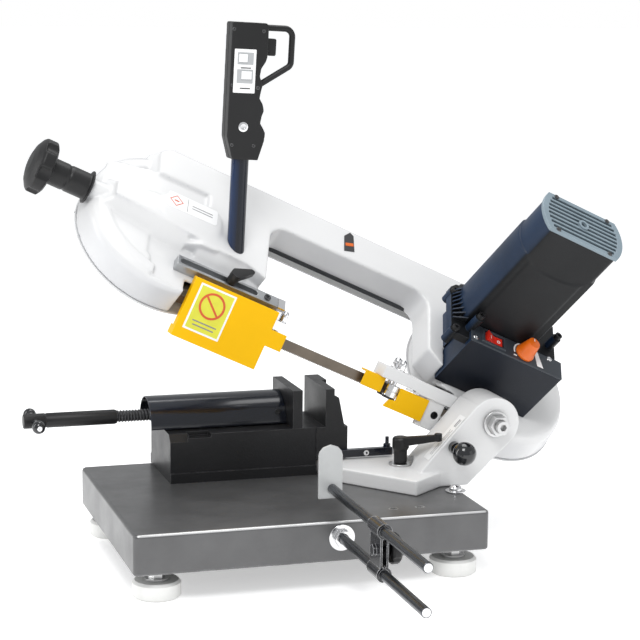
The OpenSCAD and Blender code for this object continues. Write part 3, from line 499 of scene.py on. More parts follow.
def arc_band(inner, outer, start, end, z0, z1, steps=40):
    """A band of rectangular section between two angles, or a whole ring."""
    verts, faces = [], []
    full = abs(end - start) >= 359.9
    for i in range(steps + (0 if full else 1)):
        angle = math.radians(start + (end - start) * i / steps)
        cos, sin = math.cos(angle), math.sin(angle)
        verts += [(inner * cos, inner * sin, z0), (outer * cos, outer * sin, z0),
                  (outer * cos, outer * sin, z1), (inner * cos, inner * sin, z1)]
    count = len(verts) // 4
    for i in range(count if full else count - 1):
        j = (i + 1) % count
        for k in range(4):
            m = (k + 1) % 4
            faces.append((i * 4 + k, i * 4 + m, j * 4 + m, j * 4 + k))
    if not full:
        last = (count - 1) * 4
        faces += [(0, 1, 2, 3), (last + 3, last + 2, last + 1, last)]
    return verts, faces


def rounded_rect(x0, y0, x1, y1, radius, steps=5):
    points = []
    for x, y, start in ((x1 - radius, y1 - radius, 0), (x0 + radius, y1 - radius, 90),
                        (x0 + radius, y0 + radius, 180), (x1 - radius, y0 + radius, 270)):
        for i in range(steps + 1):
            angle = math.radians(start + 90 * i / steps)
            points.append((x + radius * math.cos(angle), y + radius * math.sin(angle)))
    return points


def screw_head(diameter, height, socket, dome=0.0):
    """A screw head standing on z = 0: chamfered rim and a round recess in its top."""
    radius, recess = diameter / 2, socket / 2
    depth = height * 0.6
    top = height + dome
    return lathe([(0, 0), (radius, 0), (radius, height * 0.78), (radius * 0.9, height),
                  (recess * 1.15, top), (recess, top - 0.15), (recess * 0.95, top - depth),
                  (0, top - depth - 0.2)], 36)


def screw_heads(points, z, **sizes):
    return join([moved(screw_head(**sizes), (x, y, z)) for x, y in points])


def grid_faces(rows, count):
    """Quads between successive closed rings of count vertices."""
    return [(k * count + i, k * count + (i + 1) % count,
             (k + 1) * count + (i + 1) % count, (k + 1) * count + i)
            for k in range(rows) for i in range(count)]


def end_caps(rows, count):
    return [tuple(range(count))[::-1], tuple(rows * count + i for i in range(count))]


# ---------------------------------------------------------------- CAD pieces that stay
# node: material, bevel width, bevel segments
LOOKS = {
    "base_tray": ("base_grey", 3.6, 4), "feet": ("foot", 1.2, 3),
    "foot_studs": ("zinc", 0.5, 2), "base_bolts": ("chrome", 0.5, 2),
    "stop_rod_lower": ("dark_rod", 0.8, 2), "vise_body": ("black_cast", 1.6, 3),
    "vise_nut": ("black_cast", 1.0, 2), "fixed_jaw": ("black_cast", 1.2, 2),
    "jaw_bolts": ("plastic", 0.5, 2), "mitre_pin": ("zinc", 0.5, 2),
    "angle_bar": ("black_sheet", 0.6, 2), "pivot_bushes": ("bronze", 0.3, 1),
    "clamp_stud": ("zinc", 0.4, 1), "clamp_washer": ("zinc", 0.5, 2),
    "clamp_lever": ("plastic", 0.9, 3), "lock_pin": ("plastic_gloss", 0.4, 2),
    "pivot_stud": ("zinc", 0.6, 2), "pivot_nut": ("zinc", 0.7, 2),
    "rear_cover": ("white_paint", 0.7, 2), "bow_screws": ("plastic", 0.5, 2),
    "idler_slide": ("alu", 0.5, 1), "idler_wheel": ("alu", 0.5, 1),
    "tension_knob": ("plastic", 1.0, 3), "drive_wheel": ("alu", 0.5, 1),
    "drive_shaft": ("zinc", 0.4, 1), "drive_gear": ("alu", 0.2, 1),
    "shaft_bearings": ("zinc", 0.3, 1), "armature": ("copper", 0.3, 1),
    "gear_cover": ("motor_black", 1.6, 3), "motor_grille": ("grille", 0.5, 2),
    "control_box": ("box_black", 1.6, 3), "control_panel": ("panel", 0.5, 2),
    "rocker_switch": ("red", 0.9, 3), "speed_knob": ("orange", 0.8, 3),
    "blade": ("blade", 0.05, 1), "guide_bar": ("bar_steel", 0.7, 2),
    "left_guide_block": ("chrome", 0.6, 2), "left_front_roller": ("chrome", 0.3, 1),
    "left_rear_roller": ("chrome", 0.3, 1), "left_guard": ("yellow", 0.9, 2),
    "guide_lock_lever": ("plastic", 1.0, 3), "right_guide_block": ("white_arm", 1.2, 3),
    "right_front_roller": ("chrome", 0.3, 1), "right_rear_roller": ("chrome", 0.3, 1),
    "right_guard": ("yellow", 0.8, 2), "handle_tube": ("tube_blue", 0.5, 2),
    "grip_left": ("plastic", 2.6, 4), "grip_right": ("plastic", 2.6, 4),
    "trigger": ("plastic", 0.9, 3), "trigger_guard": ("plastic", 0.6, 2),
    "moving_jaw": ("black_cast", 1.2, 2), "vise_cover": ("black_sheet", 0.6, 2),
    "tommy_bar": ("plastic_gloss", 0.4, 2), "stop_rod_upper": ("dark_rod", 0.9, 2),
    "stop_bracket": ("bracket_black", 0.8, 2), "bracket_knob": ("plastic", 0.9, 3),
    "bow_casting": ("white_paint", 1.5, 3), "swivel_arm": ("white_arm", 1.8, 3),
    "motor_housing": ("motor_black", 1.5, 3), "vise_screw": ("screw_steel", 0.6, 2),
}
WELD_DISTANCE = 0.00002   # metres

for node_name, node_object in NODES.items():
    material_name, bevel_width, bevel_segments = LOOKS[node_name]
    node_object.data.materials.clear()
    node_object.data.materials.append(MATERIALS[material_name])
    shade(node_object.data)
    node_object.modifiers.new("weld", "WELD").merge_threshold = WELD_DISTANCE
    round_edges(node_object, bevel_width, bevel_segments, angle=28)


# ---------------------------------------------------------------- cast and moulded skins
def add_skin(node, voxel, rounds, material, body, name=None, added=(), cutters=()):
    """Remesh a CAD shape and smooth it, so every edge gets a fillet; voxel in millimetres."""
    name = name or node + "_skin"
    edit = bmesh.new()
    edit.from_mesh(NODES[node].data)
    bmesh.ops.remove_doubles(edit, verts=edit.verts, dist=WELD_DISTANCE)
    mesh = bpy.data.meshes.new(name)
    edit.to_mesh(mesh)
    edit.free()
    ob = link_object(name, mesh)
    for cutter in cutters:
        subtract(ob, link_object("cutter", build_mesh("cut", cutter)))

    edit = bmesh.new()
    edit.from_mesh(ob.data)
    for part in added:
        extra = build_mesh(name + "_x", part)
        edit.from_mesh(extra)
        bpy.data.meshes.remove(extra)
    whole = bpy.data.meshes.new(name + "_all")
    edit.to_mesh(whole)
    edit.free()
    ob.data = whole

    remesh = ob.modifiers.new("remesh", "REMESH")
    remesh.mode = "VOXEL"
    remesh.voxel_size = voxel / 1000
    remesh.use_smooth_shade = True
    smooth = ob.modifiers.new("smooth", "SMOOTH")
    smooth.factor = 0.5
    smooth.iterations = rounds
    bake_modifiers(ob)
    ob.data.materials.clear()
    ob.data.materials.append(MATERIALS[material])
    shade(ob.data)
    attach(ob, body)
    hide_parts(node)


def bow_additions():
    """Shapes that join the bow casting, in BOW."""
    # Raised rim round the idler housing
    parts = [moved(arc_band(86, 101, 20, 262, 12, 18.2, 120), (IDLER_X, WHEEL_Y, 0))]
    # Small round bosses about both wheels
    for x, y in ((IDLER_X - 106, WHEEL_Y), (IDLER_X, WHEEL_Y + 106),
                 (IDLER_X + 75, WHEEL_Y - 75), (DRIVE_X, WHEEL_Y + 112),
                 (DRIVE_X + 112, WHEEL_Y), (DRIVE_X + 79, WHEEL_Y - 79)):
        parts.append(moved(disc(3.6, -25, -17, segments=20), (x, y, 0)))
    # Soft pad under the data plate
    parts.append(prism(rounded_rect(-484, 62, -399, 113, 22, 8), 20, 36.4))
    # Sloped shoulders where the beam meets the wheel housing: (x, z) profile, y0, y1
    for profile, y0, y1 in (
            ([(-504, 13), (-488, 33.6), (-470, 33.6), (-470, 6), (-504, 6)], 139, 186),
            ([(-556, 15), (-502, 29.5), (-400, 29.5), (-400, 6), (-556, 6)], 98, 142),
            ([(-456, 15), (-421, 33.4), (-400, 33.4), (-400, 6), (-456, 6)], 46, 64)):
        parts.append(cross_prism(profile, y0, y1))
    # Shoulder beside the pad, a (y, z) profile that drifts 6 toward -y
    shoulder = [(36, 12), (55, 33.8), (62, 33.8), (62, 8), (36, 8)]
    parts.append(loft([(-424, y, z) for y, z in shoulder],
                      [(-352, y - 6, z) for y, z in shoulder], step=1))
    # Drafted flanks of the tension ridge
    parts.append(frustum(
        [(-562, 56), (-478, 42), (-440, 40), (-440, 112), (-478, 118), (-562, 104)],
        [(-536, 70), (-478, 60), (-440, 58), (-440, 100), (-478, 100), (-536, 90)], 14.5, 35))
    # Fillet wedges at the two ends of the window
    y, radius = 138, 26
    for x, side in ((-329, 1), (-88, -1)):
        points = [(x - 3 * side, y + 3)]
        for i in range(9):
            angle = math.radians(90 * i / 8)
            points.append((x + side * radius * (1 - math.sin(angle)),
                           y - radius * (1 - math.cos(angle))))
        parts.append(prism(points, -9.5, 33.5))
    return [moved(part, turn=BOW) for part in parts]


BOW_GROOVE = prism([(-486, 10), (-486, 54), (-359, 46), (-331, 36), (-331, 10)], 12.6, 60)
add_skin("bow_casting", 1.6, 20, "white_paint", "saw_bow",
         added=bow_additions(), cutters=[moved(BOW_GROOVE, turn=BOW)])
add_skin("swivel_arm", 1.2, 6, "white_arm", "mitre_arm")
# node, voxel, smoothing rounds, body
for node_name, voxel_size, smooth_rounds, body_name in (
        ("grip_left", 0.9, 8, "saw_bow"), ("grip_right", 0.9, 8, "saw_bow"),
        ("tension_knob", 0.9, 6, "tension_screw"), ("bracket_knob", 0.8, 5, "stop_knob"),
        ("clamp_lever", 0.8, 6, "clamp_handle")):
    add_skin(node_name, voxel_size * (1), smooth_rounds, "plastic", body_name)
add_skin("right_guide_block", 0.7, 4, "white_arm", "saw_bow",
         name="right_guide_skin")


# ---------------------------------------------------------------- base tray
def add_tray():
    """Sheet tray with a closed top, rolled edges and a flange turned in at the bottom."""
    half_x, half_y, bottom, top, sheet, flange = 220.0, 170.5, 28.0, 77.5, 2.5, 60
    # (inset, z): from inside the top, down and round the flange, then up the outside
    profile = [(sheet, top - sheet), (sheet, bottom + sheet), (flange, bottom + sheet),
               (flange, bottom), (3, bottom), (1.2, bottom + 0.5), (0.3, bottom + 1.6),
               (0, bottom + 3), (0, top - 4.5), (0.35, top - 2.8), (1.3, top - 1.3),
               (2.8, top - 0.35), (4.5, top)]
    verts = []
    for inset, z in profile:
        outline = rounded_rect(-half_x + inset, -half_y + inset, half_x - inset, half_y - inset,
                               max(0.8, 7.0 - inset), 7)
        verts.extend((x, y, z) for x, y in outline)
    count, last = len(outline), len(profile) - 1
    faces = grid_faces(last, count)
    faces += [tuple(k * count + i for i in range(count)) for k in (0, last)]
    ob = add("tray_rolled", (verts, faces), GROUND, "base_grey", None, smooth=False)
    # Two square holes and an arc slot in the top
    holes = join([box((104, -136, 70), (113, -131, 82)), box((138, -136, 70), (147, -131, 82)),
                  moved(arc_band(92.3, 102.9, -39, 7, 70, 82, 30), (88, 62, 0))])
    subtract(ob, add("tray_cut", holes, GROUND, "base_grey", None, smooth=False))
    shade(ob.data)
    mark_sharp(ob, 34)
    ob.modifiers.new("wn", "WEIGHTED_NORMAL").keep_sharp = True
    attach(ob, "base")
    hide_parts("base_tray")


add_tray()

# ---------------------------------------------------------------- motor shell
SHELL_START, SHELL_END = 94.25, 284.15    # along z in BOW
FLAT_Y = 33.0                             # the two flats lie this far from the motor's axis
FLAT_HALF = math.sqrt(MOTOR_RADIUS * MOTOR_RADIUS - FLAT_Y * FLAT_Y)


def motor_outline(steps=44):
    """The -y flat, +x curve, +y flat and -x curve, about the motor's axis."""
    start = math.atan2(-FLAT_Y, FLAT_HALF)
    points = []
    for side in (1, -1):
        points += [(side * (-FLAT_HALF + 2 * FLAT_HALF * i / steps), -side * FLAT_Y)
                   for i in range(steps)]
        first = start if side > 0 else math.pi + start
        for i in range(steps):
            angle = first + (-2 * start) * i / steps
            points.append((MOTOR_RADIUS * math.cos(angle), MOTOR_RADIUS * math.sin(angle)))
    return points


def shell_offset(x, y, z):
    """How far the shell stands off its outline at a point; negative is inward."""
    on_flat = y < -FLAT_Y + 0.5
    # The sleeve ends in a 2.2 step, which curves on the -y flat
    step_z = 219 + 18 * min(1.6, (abs(x) / 50.0)) ** 3 if on_flat else 236
    sleeve = 1 / (1 + math.exp(max(-40, min(40, -(step_z - z) / 0.45))))
    offset = -2.2 + 2.2 * sleeve
    # Raised middle panel on the -y flat
    if on_flat and sleeve > 0.02:
        fall = max(0.0, min(1.0, (abs(x) - 39) / 3.5))
        offset -= 2.0 * (fall * fall * (3 - 2 * fall)) * sleeve * (1 if x > 0 else 0.6)
    # Rounded ends
    offset -= 1.2 * (1 - min(1.0, (z - SHELL_START) / 2.5)) ** 2
    if z > SHELL_END - 2.0:
        offset -= 0.8 * ((z - (SHELL_END - 2.0)) / 2.0) ** 2
    # Four rounded long corners
    corner = min(math.hypot(x - side_x * FLAT_HALF, y - side_y * FLAT_Y)
                 for side_x in (-1, 1) for side_y in (-1, 1))
    if corner < 5:
        offset -= 0.9 * (1 - corner / 5) ** 2
    return offset


def motor_shell(rows=240):
    outline = motor_outline()
    count = len(outline)
    verts = []
    for k in range(rows + 1):
        z = SHELL_START + (SHELL_END - SHELL_START) * k / rows
        for x, y in outline:
            outward = Vector((x, y)) / math.hypot(x, y)
            offset = shell_offset(x, y, z)
            verts.append((MOTOR_X + x + outward[0] * offset, MOTOR_Y + y + outward[1] * offset, z))
    faces = grid_faces(rows, count)
    # Inner wall and end rings
    inner, last = len(verts), rows * count
    for z in (SHELL_START, SHELL_END):
        verts += [(MOTOR_X + x * 0.93, MOTOR_Y + y * 0.90, z) for x, y in outline]
    for i in range(count):
        j = (i + 1) % count
        faces.append((i, inner + i, inner + j, j))
        faces.append((last + i, last + j, inner + count + j, inner + count + i))
        faces.append((inner + i, inner + count + i, inner + count + j, inner + j))
    return verts, faces


add("motor_shell", motor_shell(), BOW, "motor_black", "saw_bow", angle=40,
    replaces="motor_housing")
add("motor_inner_wall", prism(rounded_rect(-82, 46, 35, 110, 8, 6), 95, 98), BOW, "gasket",
    "saw_bow", bevel=0.4)


# ---------------------------------------------------------------- trigger loop
def fillet_path(points, radii, steps=8):
    """A path through the points with an arc of the given radius at each inner one."""
    path = [Vector(points[0])]
    for i, radius in enumerate(radii, 1):
        before, corner, after = Vector(points[i - 1]), Vector(points[i]), Vector(points[i + 1])
        to_before, to_after = (before - corner).normalized(), (after - corner).normalized()
        angle = to_before.angle(to_after)
        reach = radius / math.tan(angle / 2)
        centre = corner + (to_before + to_after).normalized() * (radius / math.sin(angle / 2))
        start, end = corner + to_before * reach, corner + to_after * reach
        for k in range(steps + 1):
            spoke = (start - centre).lerp(end - centre, k / steps).normalized() * radius
            path.append(centre + spoke)
    path.append(Vector(points[-1]))
    return path


def sweep(path, radius, up, segments=20):
    verts, last = [], len(path) - 1
    for i, point in enumerate(path):
        along = (path[min(i + 1, last)] - path[max(i - 1, 0)]).normalized()
        side = along.cross(up).normalized()
        for k in range(segments):
            angle = 2 * math.pi * k / segments
            verts.append(tuple(point + side * radius * math.cos(angle)
                               + up * radius * math.sin(angle)))
    return verts, grid_faces(last, segments) + end_caps(last, segments)


# (x, z) from the grip's base
LOOP_POINTS = [(19, 164.5), (56.5, 164.5), (56.5, 119), (17, 93.5)]
loop_path = fillet_path([(3 + x, 0, HANDLE_BASE + z) for x, z in LOOP_POINTS], radii=[10, 9])
add("trigger_loop", sweep(loop_path, 3.9, Vector((0, 1, 0))), HANDLE, "plastic", "saw_bow",
    angle=50, replaces="trigger_guard")

# ---------------------------------------------------------------- vise screw
VISE_Y, VISE_Z = 118, 154    # axis of the screw, which runs along x


def thread(x0, x1, root, crest, pitch, segments=40):
    """A helical thread along x; its profile has ten radii to a turn."""
    rise = crest - root
    radii = [root, root, root + rise * 0.35, root + rise * 0.75, crest,
             crest, root + rise * 0.75, root + rise * 0.35, root, root]
    per_turn = len(radii)
    rows = int((x1 - x0) / pitch * per_turn)
    verts = []
    for i in range(rows + 1):
        x = x0 + (x1 - x0) * i / rows
        for j in range(segments):
            turn = ((x - x0) / pitch - j / segments) % 1.0 * per_turn
            low, high = radii[int(turn) % per_turn], radii[(int(turn) + 1) % per_turn]
            radius = low + (high - low) * (turn - int(turn))
            angle = 2 * math.pi * j / segments
            verts.append((x, radius * math.cos(angle), radius * math.sin(angle)))
    return verts, grid_faces(rows, segments) + end_caps(rows, segments)


add("vise_screw_thread",
    moved(thread(-184, 31.5, root=6.7, crest=8.0, pitch=4.0), (0, VISE_Y, VISE_Z)),
    GROUND, "screw_steel", "lead_screw", angle=35, replaces="vise_screw")
# (radius, x)
SLEEVE = [(0, -303), (8.6, -303), (9.5, -302), (9.5, -276), (9.0, -275.2), (9.0, -273.6),
          (9.5, -272.8), (9.5, -186), (8.7, -183.2), (6.6, -183)]
add("vise_screw_sleeve", lathe(SLEEVE, 48, "x", (0, VISE_Y, VISE_Z)), GROUND, "plastic",
    "lead_screw", angle=35)
# Bright screws in the ends of the tommy bar
for end, side in (("front", -1), ("rear", 1)):
    add("tommy_screw_" + end,
        moved(screw_head(diameter=6.5, height=1.6, socket=2.6),
              (-289, VISE_Y + side * 46.1, VISE_Z), turn_about("X", -90 * side)),
        GROUND, "chrome", "tommy")


# ---------------------------------------------------------------- blade teeth
def blade_teeth():
    verts, faces = [], []
    x, end, pitch, length = -328.0, -102, 2.3, 2.2
    root_z, depth, half, lean = -24.95, 1.6, 0.3, 0.25
    sets = (0.28, -0.28, 0.0)    # sideways set of the tips, repeating
    i = 0
    while x < end:
        start, tip = len(verts), sets[i % 3]
        verts += [(x, -half, root_z), (x + length, -half, root_z), (x + length, half, root_z),
                  (x, half, root_z), (x + lean, -half + tip, root_z - depth),
                  (x + lean, half + tip, root_z - depth)]
        faces += [tuple(start + j for j in face) for face in
                  ((0, 1, 2, 3), (0, 4, 1), (3, 2, 5), (1, 4, 5, 2), (0, 3, 5, 4))]
        x += pitch
        i += 1
    return verts, faces


add("blade_teeth", blade_teeth(), BLADE, "blade", "saw_bow", smooth=False)


# ---------------------------------------------------------------- plates and plain marks
def plate(name, outline, z0, z1, frame, material, body, bevel=0.15):
    add(name, prism(outline, z0, z1), frame, material, body, bevel=bevel, segments=1)


# Data plate on the pad, with a red diamond and grey bars
plate("pad_plate", rounded_rect(-477, 84, -407, 111, 4), 36.2, 36.75, BOW, "label", "saw_bow")
add("pad_mark_red",
    join([moved(arc_band(8.2, 9.6, 0, 360, 36.7, 36.95, 4), (-465, 97.5, 0)),
          box((-468.2, 96.4, 36.7), (-461.6, 98.4, 36.95))]),
    BOW, "mark_red", "saw_bow", smooth=False)
add("pad_mark_grey",
    boxes([(-449.5, 86, -448.9, 109), (-443, 95, -414, 96.2), (-443, 99.5, -414, 100.7)],
          36.7, 36.9),
    BOW, "mark_grey", "saw_bow", smooth=False)

# Small badge on the beam
plate("beam_badge", [(-220.5, 148), (-205, 154), (-207.5, 183), (-213, 187), (-221.5, 176)],
      34.1, 34.8, BOW, "mark_black", "saw_bow", bevel=0.2)
plate("beam_badge_stripe", [(-219, 158), (-207, 163), (-207.4, 168.5), (-219.4, 163.5)],
      34.7, 35.1, BOW, "orange", "saw_bow", bevel=0.1)

# Label on the front face of the left guard: x along the blade, y up, z to the front
GUARD = BLADE @ turn_about("X", 90)
GUARD_FACE = 22
plate("guard_label_border", rounded_rect(-412, -48, -362.5, 12.5, 0.8), GUARD_FACE + 0.02,
      GUARD_FACE + 0.35, GUARD, "label", "guide_arm")
plate("guard_label_field", rounded_rect(-409.5, -45.5, -365, 10, 0.4), GUARD_FACE + 0.3,
      GUARD_FACE + 0.5, GUARD, "label_yellow", "guide_arm")
mark_z = GUARD_FACE + 0.45
barred_ring = join([arc_band(14.2, 17.0, 0, 360, mark_z, GUARD_FACE + 0.75, 64),
                    moved(box((-15, -1.3, mark_z), (15, 1.3, GUARD_FACE + 0.7)),
                          turn=turn_about("Z", -42))])
add("guard_label_ring", moved(barred_ring, (-387.5, -10.5, 0)), GUARD, "mark_red", "guide_arm")
add("guard_label_bars",
    boxes([(-404, -35.2, -371, -33.6), (-402, -40.2, -373, -38.6)], mark_z, GUARD_FACE + 0.6),
    GUARD, "mark_grey", "guide_arm", smooth=False)

# Plate and bars on the sloped edge of the arm's upright: x up the slope, y to the back
edge_low, edge_high = Vector((182, 0, 107)), Vector((240, 0, 169.5))
up_edge = (edge_high - edge_low).normalized()
ARM_EDGE = make_frame(place(edge_low.x, -47, edge_low.z), up_edge, (0, 1, 0),
                      Vector((-up_edge.z, 0, up_edge.x)))
plate("arm_plate", rounded_rect(6, 1, 78, 20, 1.0), 0.9, 1.35, ARM_EDGE, "label", "mitre_arm")
ARM_BARS = [(60, 5, 72, 6.4), (60, 8.2, 72, 10.6), (38, 5, 55, 5.8), (38, 8, 52, 8.8),
            (38, 11, 55, 11.8), (14, 6, 30, 6.8), (14, 10, 32, 10.8)]
add("arm_plate_bars", boxes(ARM_BARS, 1.3, 1.45), ARM_EDGE, "mark_grey", "mitre_arm",
    smooth=False)

# ---------------------------------------------------------------- front of the handle grip
# x right, y up from the grip's base, z to the front
GRIP = HANDLE @ Matrix.Translation((0, 0, HANDLE_BASE)) @ turn_about("X", 90)
GRIP_FACE = 15.05
plate("switch_label", rounded_rect(-17.6, 83, 10.2, 137, 1.0), GRIP_FACE + 0.02,
      GRIP_FACE + 0.45, GRIP, "label", "saw_bow")
# state, base y, start of the well above it, slider x0 and x1
for state, y, well_start, x0, x1 in (("on", 113, 5, -12, -1), ("off", 92, 3, -8, 5)):
    plate("switch_well_" + state, rounded_rect(-13.5, y + well_start, 7, y + 20, 0.8),
          GRIP_FACE + 0.4, GRIP_FACE + 0.7, GRIP, "slider_grey", "saw_bow")
    plate("switch_slider_" + state, rounded_rect(x0, y + 8, x1, y + 18, 0.8),
          GRIP_FACE + 0.65, GRIP_FACE + 2.4, GRIP, "label", "saw_bow", bevel=0.4)
add("switch_bars", boxes([(-9, 113.2, 4, 114.6), (-9, 88.0, 4, 89.4)], GRIP_FACE + 0.4,
                         GRIP_FACE + 0.55),
    GRIP, "mark_black", "saw_bow", smooth=False)
add("grip_screw", screw_heads([(-2.1, 41)], 15.0, diameter=12.2, height=1.2, socket=5.0, dome=0.3),
    GRIP, "chrome", "saw_bow")
SMALL_SCREWS = [(-19.5, 161), (18.5, 160), (-18.5, 92), (14.5, 90), (-15.5, 18), (12.5, 18)]
add("grip_small_screws", screw_heads(SMALL_SCREWS, 14.6, diameter=4.4, height=0.7, socket=2.0),
    GRIP, "screw_steel", "saw_bow")

# ---------------------------------------------------------------- control panel
add("dial_marks",
    join([moved(arc_band(14.4, 16.4, 100, 196, 0, 0.35, 30), (DIAL_X, DIAL_Y, 99.2)),
          box((0.5, 20.6, 99.2), (5.4, 22.4, 99.45))]),
    BOW, "label", "saw_bow", smooth=False)
plate("dial_plate", [(32.5, 44), (38.5, 44), (46.5, 19), (37, 19)], 99.2, 99.5, BOW, "label",
      "saw_bow")
add("panel_screws",
    screw_heads([(-58, 21), (56.5, 41)], 99.15, diameter=7.2, height=1.5, socket=3.0),
    BOW, "chrome", "saw_bow")
# A ring and a bar on the two faces of the rocker
ROCKER = BOW @ Matrix.Translation((-30, 31, 97)) @ turn_about("Y", 9)
RING_FACE = Matrix.Translation((7.0, 0, 3.1)) @ turn_about("Y", -11.3)
BAR_FACE = Matrix.Translation((-7.0, 0, 4.35)) @ turn_about("Y", 20.9)
add("rocker_marks",
    join([moved(arc_band(1.5, 2.4, 0, 360, 0, 0.25, 24), turn=RING_FACE),
          moved(box((-0.5, -2.6, 0), (0.5, 2.6, 0.25)), turn=BAR_FACE)]),
    ROCKER, "label", "power_rocker", smooth=False)
# Pointer line on the speed knob
add("knob_line", moved(box((-0.5, 2.0, 123), (0.5, 6.6, 124)), (DIAL_X, DIAL_Y, 0)), BOW, "label",
    "speed_dial", bevel=0.1)

# ---------------------------------------------------------------- end of the motor
# Black sheet under the slats, painted shade that keeps the gaps between them dark, bounded by two
# arcs
SHADE_SHEET_RADIUS, SHADE_SHEET_ANGLE = 55, 33.37
shade_sheet_outline = []
for start in (-SHADE_SHEET_ANGLE, 180 - SHADE_SHEET_ANGLE):
    for i in range(40):
        angle = math.radians(start + 2 * SHADE_SHEET_ANGLE * i / 39)
        shade_sheet_outline.append((MOTOR_X + SHADE_SHEET_RADIUS * math.cos(angle),
                       MOTOR_Y + SHADE_SHEET_RADIUS * math.sin(angle)))
add("grille_shade_sheet", prism(shade_sheet_outline, 283.2, 283.9), BOW, "shade_black", "saw_bow",
    smooth=False)
add("grille_ring", moved(arc_band(4.2, 7.3, 0, 360, 289.0, 291.4, 40), (MOTOR_X, MOTOR_Y, 0)),
    BOW, "grille", "saw_bow", bevel=0.4)
grille_corners = [(x, y) for y in (48.0, 107.8) for x in (-62, 15)]
add("grille_screws", screw_heads(grille_corners, 289.4, diameter=6.4, height=1.2, socket=2.6),
    BOW, "screw_steel", "saw_bow")

# Black strip along the beam's window edge, a painted shadow of the gap there
add("window_shadow_strip", box((-327, 135.2, -9.5), (-90, 138.0, -4.0)), BOW, "gasket", "saw_bow",
    bevel=0.6)

# ---------------------------------------------------------------- single screws
COVER_TOP = (Matrix.Translation((23, VISE_Y, 141.5)) @ turn_about("X", 66)
             @ Matrix.Translation((0, 0, 36.9)))
add("cover_screw", moved(screw_head(diameter=7.0, height=1.6, socket=3.2), turn=COVER_TOP),
    GROUND, "plastic", "vise_slider")
add("angle_bar_screw",
    moved(screw_head(diameter=7.5, height=2.0, socket=3.4), (131, 41.9, 105),
          turn_about("X", 90)),
    GROUND, "chrome", "base")
add("bar_screw", screw_heads([(-322, 12)], 24.9, diameter=9, height=2.2, socket=4), BOW,
    "screw_steel", "guide_arm")

# ---------------------------------------------------------------- blade guides
RIGHT_ROLLER_X, RIGHT_ROLLER_Y = -118.5, 9.85


def cap_nut(radius):
    """A hexagon on a washer, with a dome; radius is half the width across flats."""
    corner = radius * 1.1547
    hexagon = prism([(corner * math.cos(math.radians(60 * i)),
                      corner * math.sin(math.radians(60 * i))) for i in range(6)], 1.3, 7.6)
    dome = lathe([(NEAR_AXIS, 7), (radius * 0.98, 7.2), (radius * 0.98, 10.2),
                  (radius * 0.85, 12.8), (radius * 0.55, 14.4), (NEAR_AXIS, 15.2)], 32)
    return join([hexagon, disc(radius * 1.25, -0.1, 1.4), dome])


# prefix, radius, x, distance of y from the blade, z, body
for prefix, radius, x, y, z, body_name in (
        ("cap_nut_", 5.2, RIGHT_ROLLER_X, RIGHT_ROLLER_Y, 9.55, "saw_bow"),
        ("cap_nut_left_", 4.3, -290.5, 7.35, 6.05, "guide_arm")):
    for end, side in (("front", -1), ("rear", 1)):
        add(prefix + end, moved(cap_nut(radius), (x, side * y, z)), BLADE, "chrome", body_name,
            bevel=0.4, angle=35)

# Black rings under the two right rollers: (radius, z)
ROLLER_RING = [(3.2, -29.2), (8.2, -29.2), (9.0, -28.6), (9.0, -27.6), (8.4, -27.15),
               (3.2, -27.15), (3.2, -29.2)]
for end, side in (("front", -1), ("rear", 1)):
    add("roller_ring_" + end,
        moved(lathe(ROLLER_RING, 40), (RIGHT_ROLLER_X, side * RIGHT_ROLLER_Y, 0)),
        BLADE, "plastic", "saw_bow", angle=35)

# Dark bore in the web of the right guide
BORE = [(NEAR_AXIS, 0), (4.95, 0), (4.95, 8.4), (4.6, 8.4), (4.6, 1.0), (NEAR_AXIS, 1.0)]
add("guide_bore", moved(lathe(BORE, 32), (-51.6, -7.2, -25.5), turn_about("X", 90)), BLADE,
    "gasket", "saw_bow", angle=35)
add("guard_clips", join([box((-104, -19.3, -9.0), (-94, -16.6, -6.6)),
                         box((-92.5, -19.3, -9.6), (-84, -16.6, -7.2))]),
    BLADE, "zinc", "saw_bow", bevel=0.5)

# ---------------------------------------------------------------- ribs beside the motor
# Between the flange of the gear cover and the motor's -x side
RIB_HALF, RIB_X, RIB_BASE = 1.1, -90.5, 94.02
ribs = []
for y in range(44, 97, 7):
    motor_side = MOTOR_X - math.sqrt(MOTOR_RADIUS ** 2 - (y - MOTOR_Y) ** 2) - 0.5
    profile = [(RIB_X, RIB_BASE), (motor_side, RIB_BASE),
               (motor_side, 108.0 - abs(y - 70) * 0.12), (RIB_X, 96.2)]
    ribs.append(cross_prism(profile, y - RIB_HALF, y + RIB_HALF))
add("cover_ribs", join(ribs), BOW, "motor_black", "saw_bow", bevel=0.4)

# ---------------------------------------------------------------- length stop
ROD_X, ROD_Z, ROD_FRONT, ROD_BACK = 31, 107, -467, -131.2
ROD = [(NEAR_AXIS, ROD_FRONT), (5.2, ROD_FRONT), (6.0, ROD_FRONT + 0.8), (6.0, ROD_BACK),
       (NEAR_AXIS, ROD_BACK)]    # (radius, y)
add("stop_rod", lathe(ROD, 40, "y", (ROD_X, 0, ROD_Z)), GROUND, "dark_rod", "length_stop",
    angle=35, replaces="stop_rod_upper")
# (x from the plate's middle, z)
STOP_PLATE = [(-15, 95), (15, 95), (15, 148), (13.5, 153), (9, 158), (0, 161), (-9, 158),
              (-13.5, 153), (-15, 148)]
add("stop_plate", cross_prism([(29 + x, z) for x, z in STOP_PLATE], -131, -127), GROUND,
    "plate_grey", "length_stop", bevel=0.7)
# Bright discs on the front ends of both rods
lower_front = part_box("stop_rod_lower")[0][1] * 1000 + ORIGIN_Y
for name, z, y, body_name in (("rod_end_upper", ROD_Z, ROD_FRONT, "length_stop"),
                              ("rod_end_lower", 57.5, lower_front, "base")):
    add(name, disc(5.0, y - 0.25, y + 0.3, axis="y", centre=(ROD_X, 0, z)), GROUND, "chrome",
        body_name, angle=35)


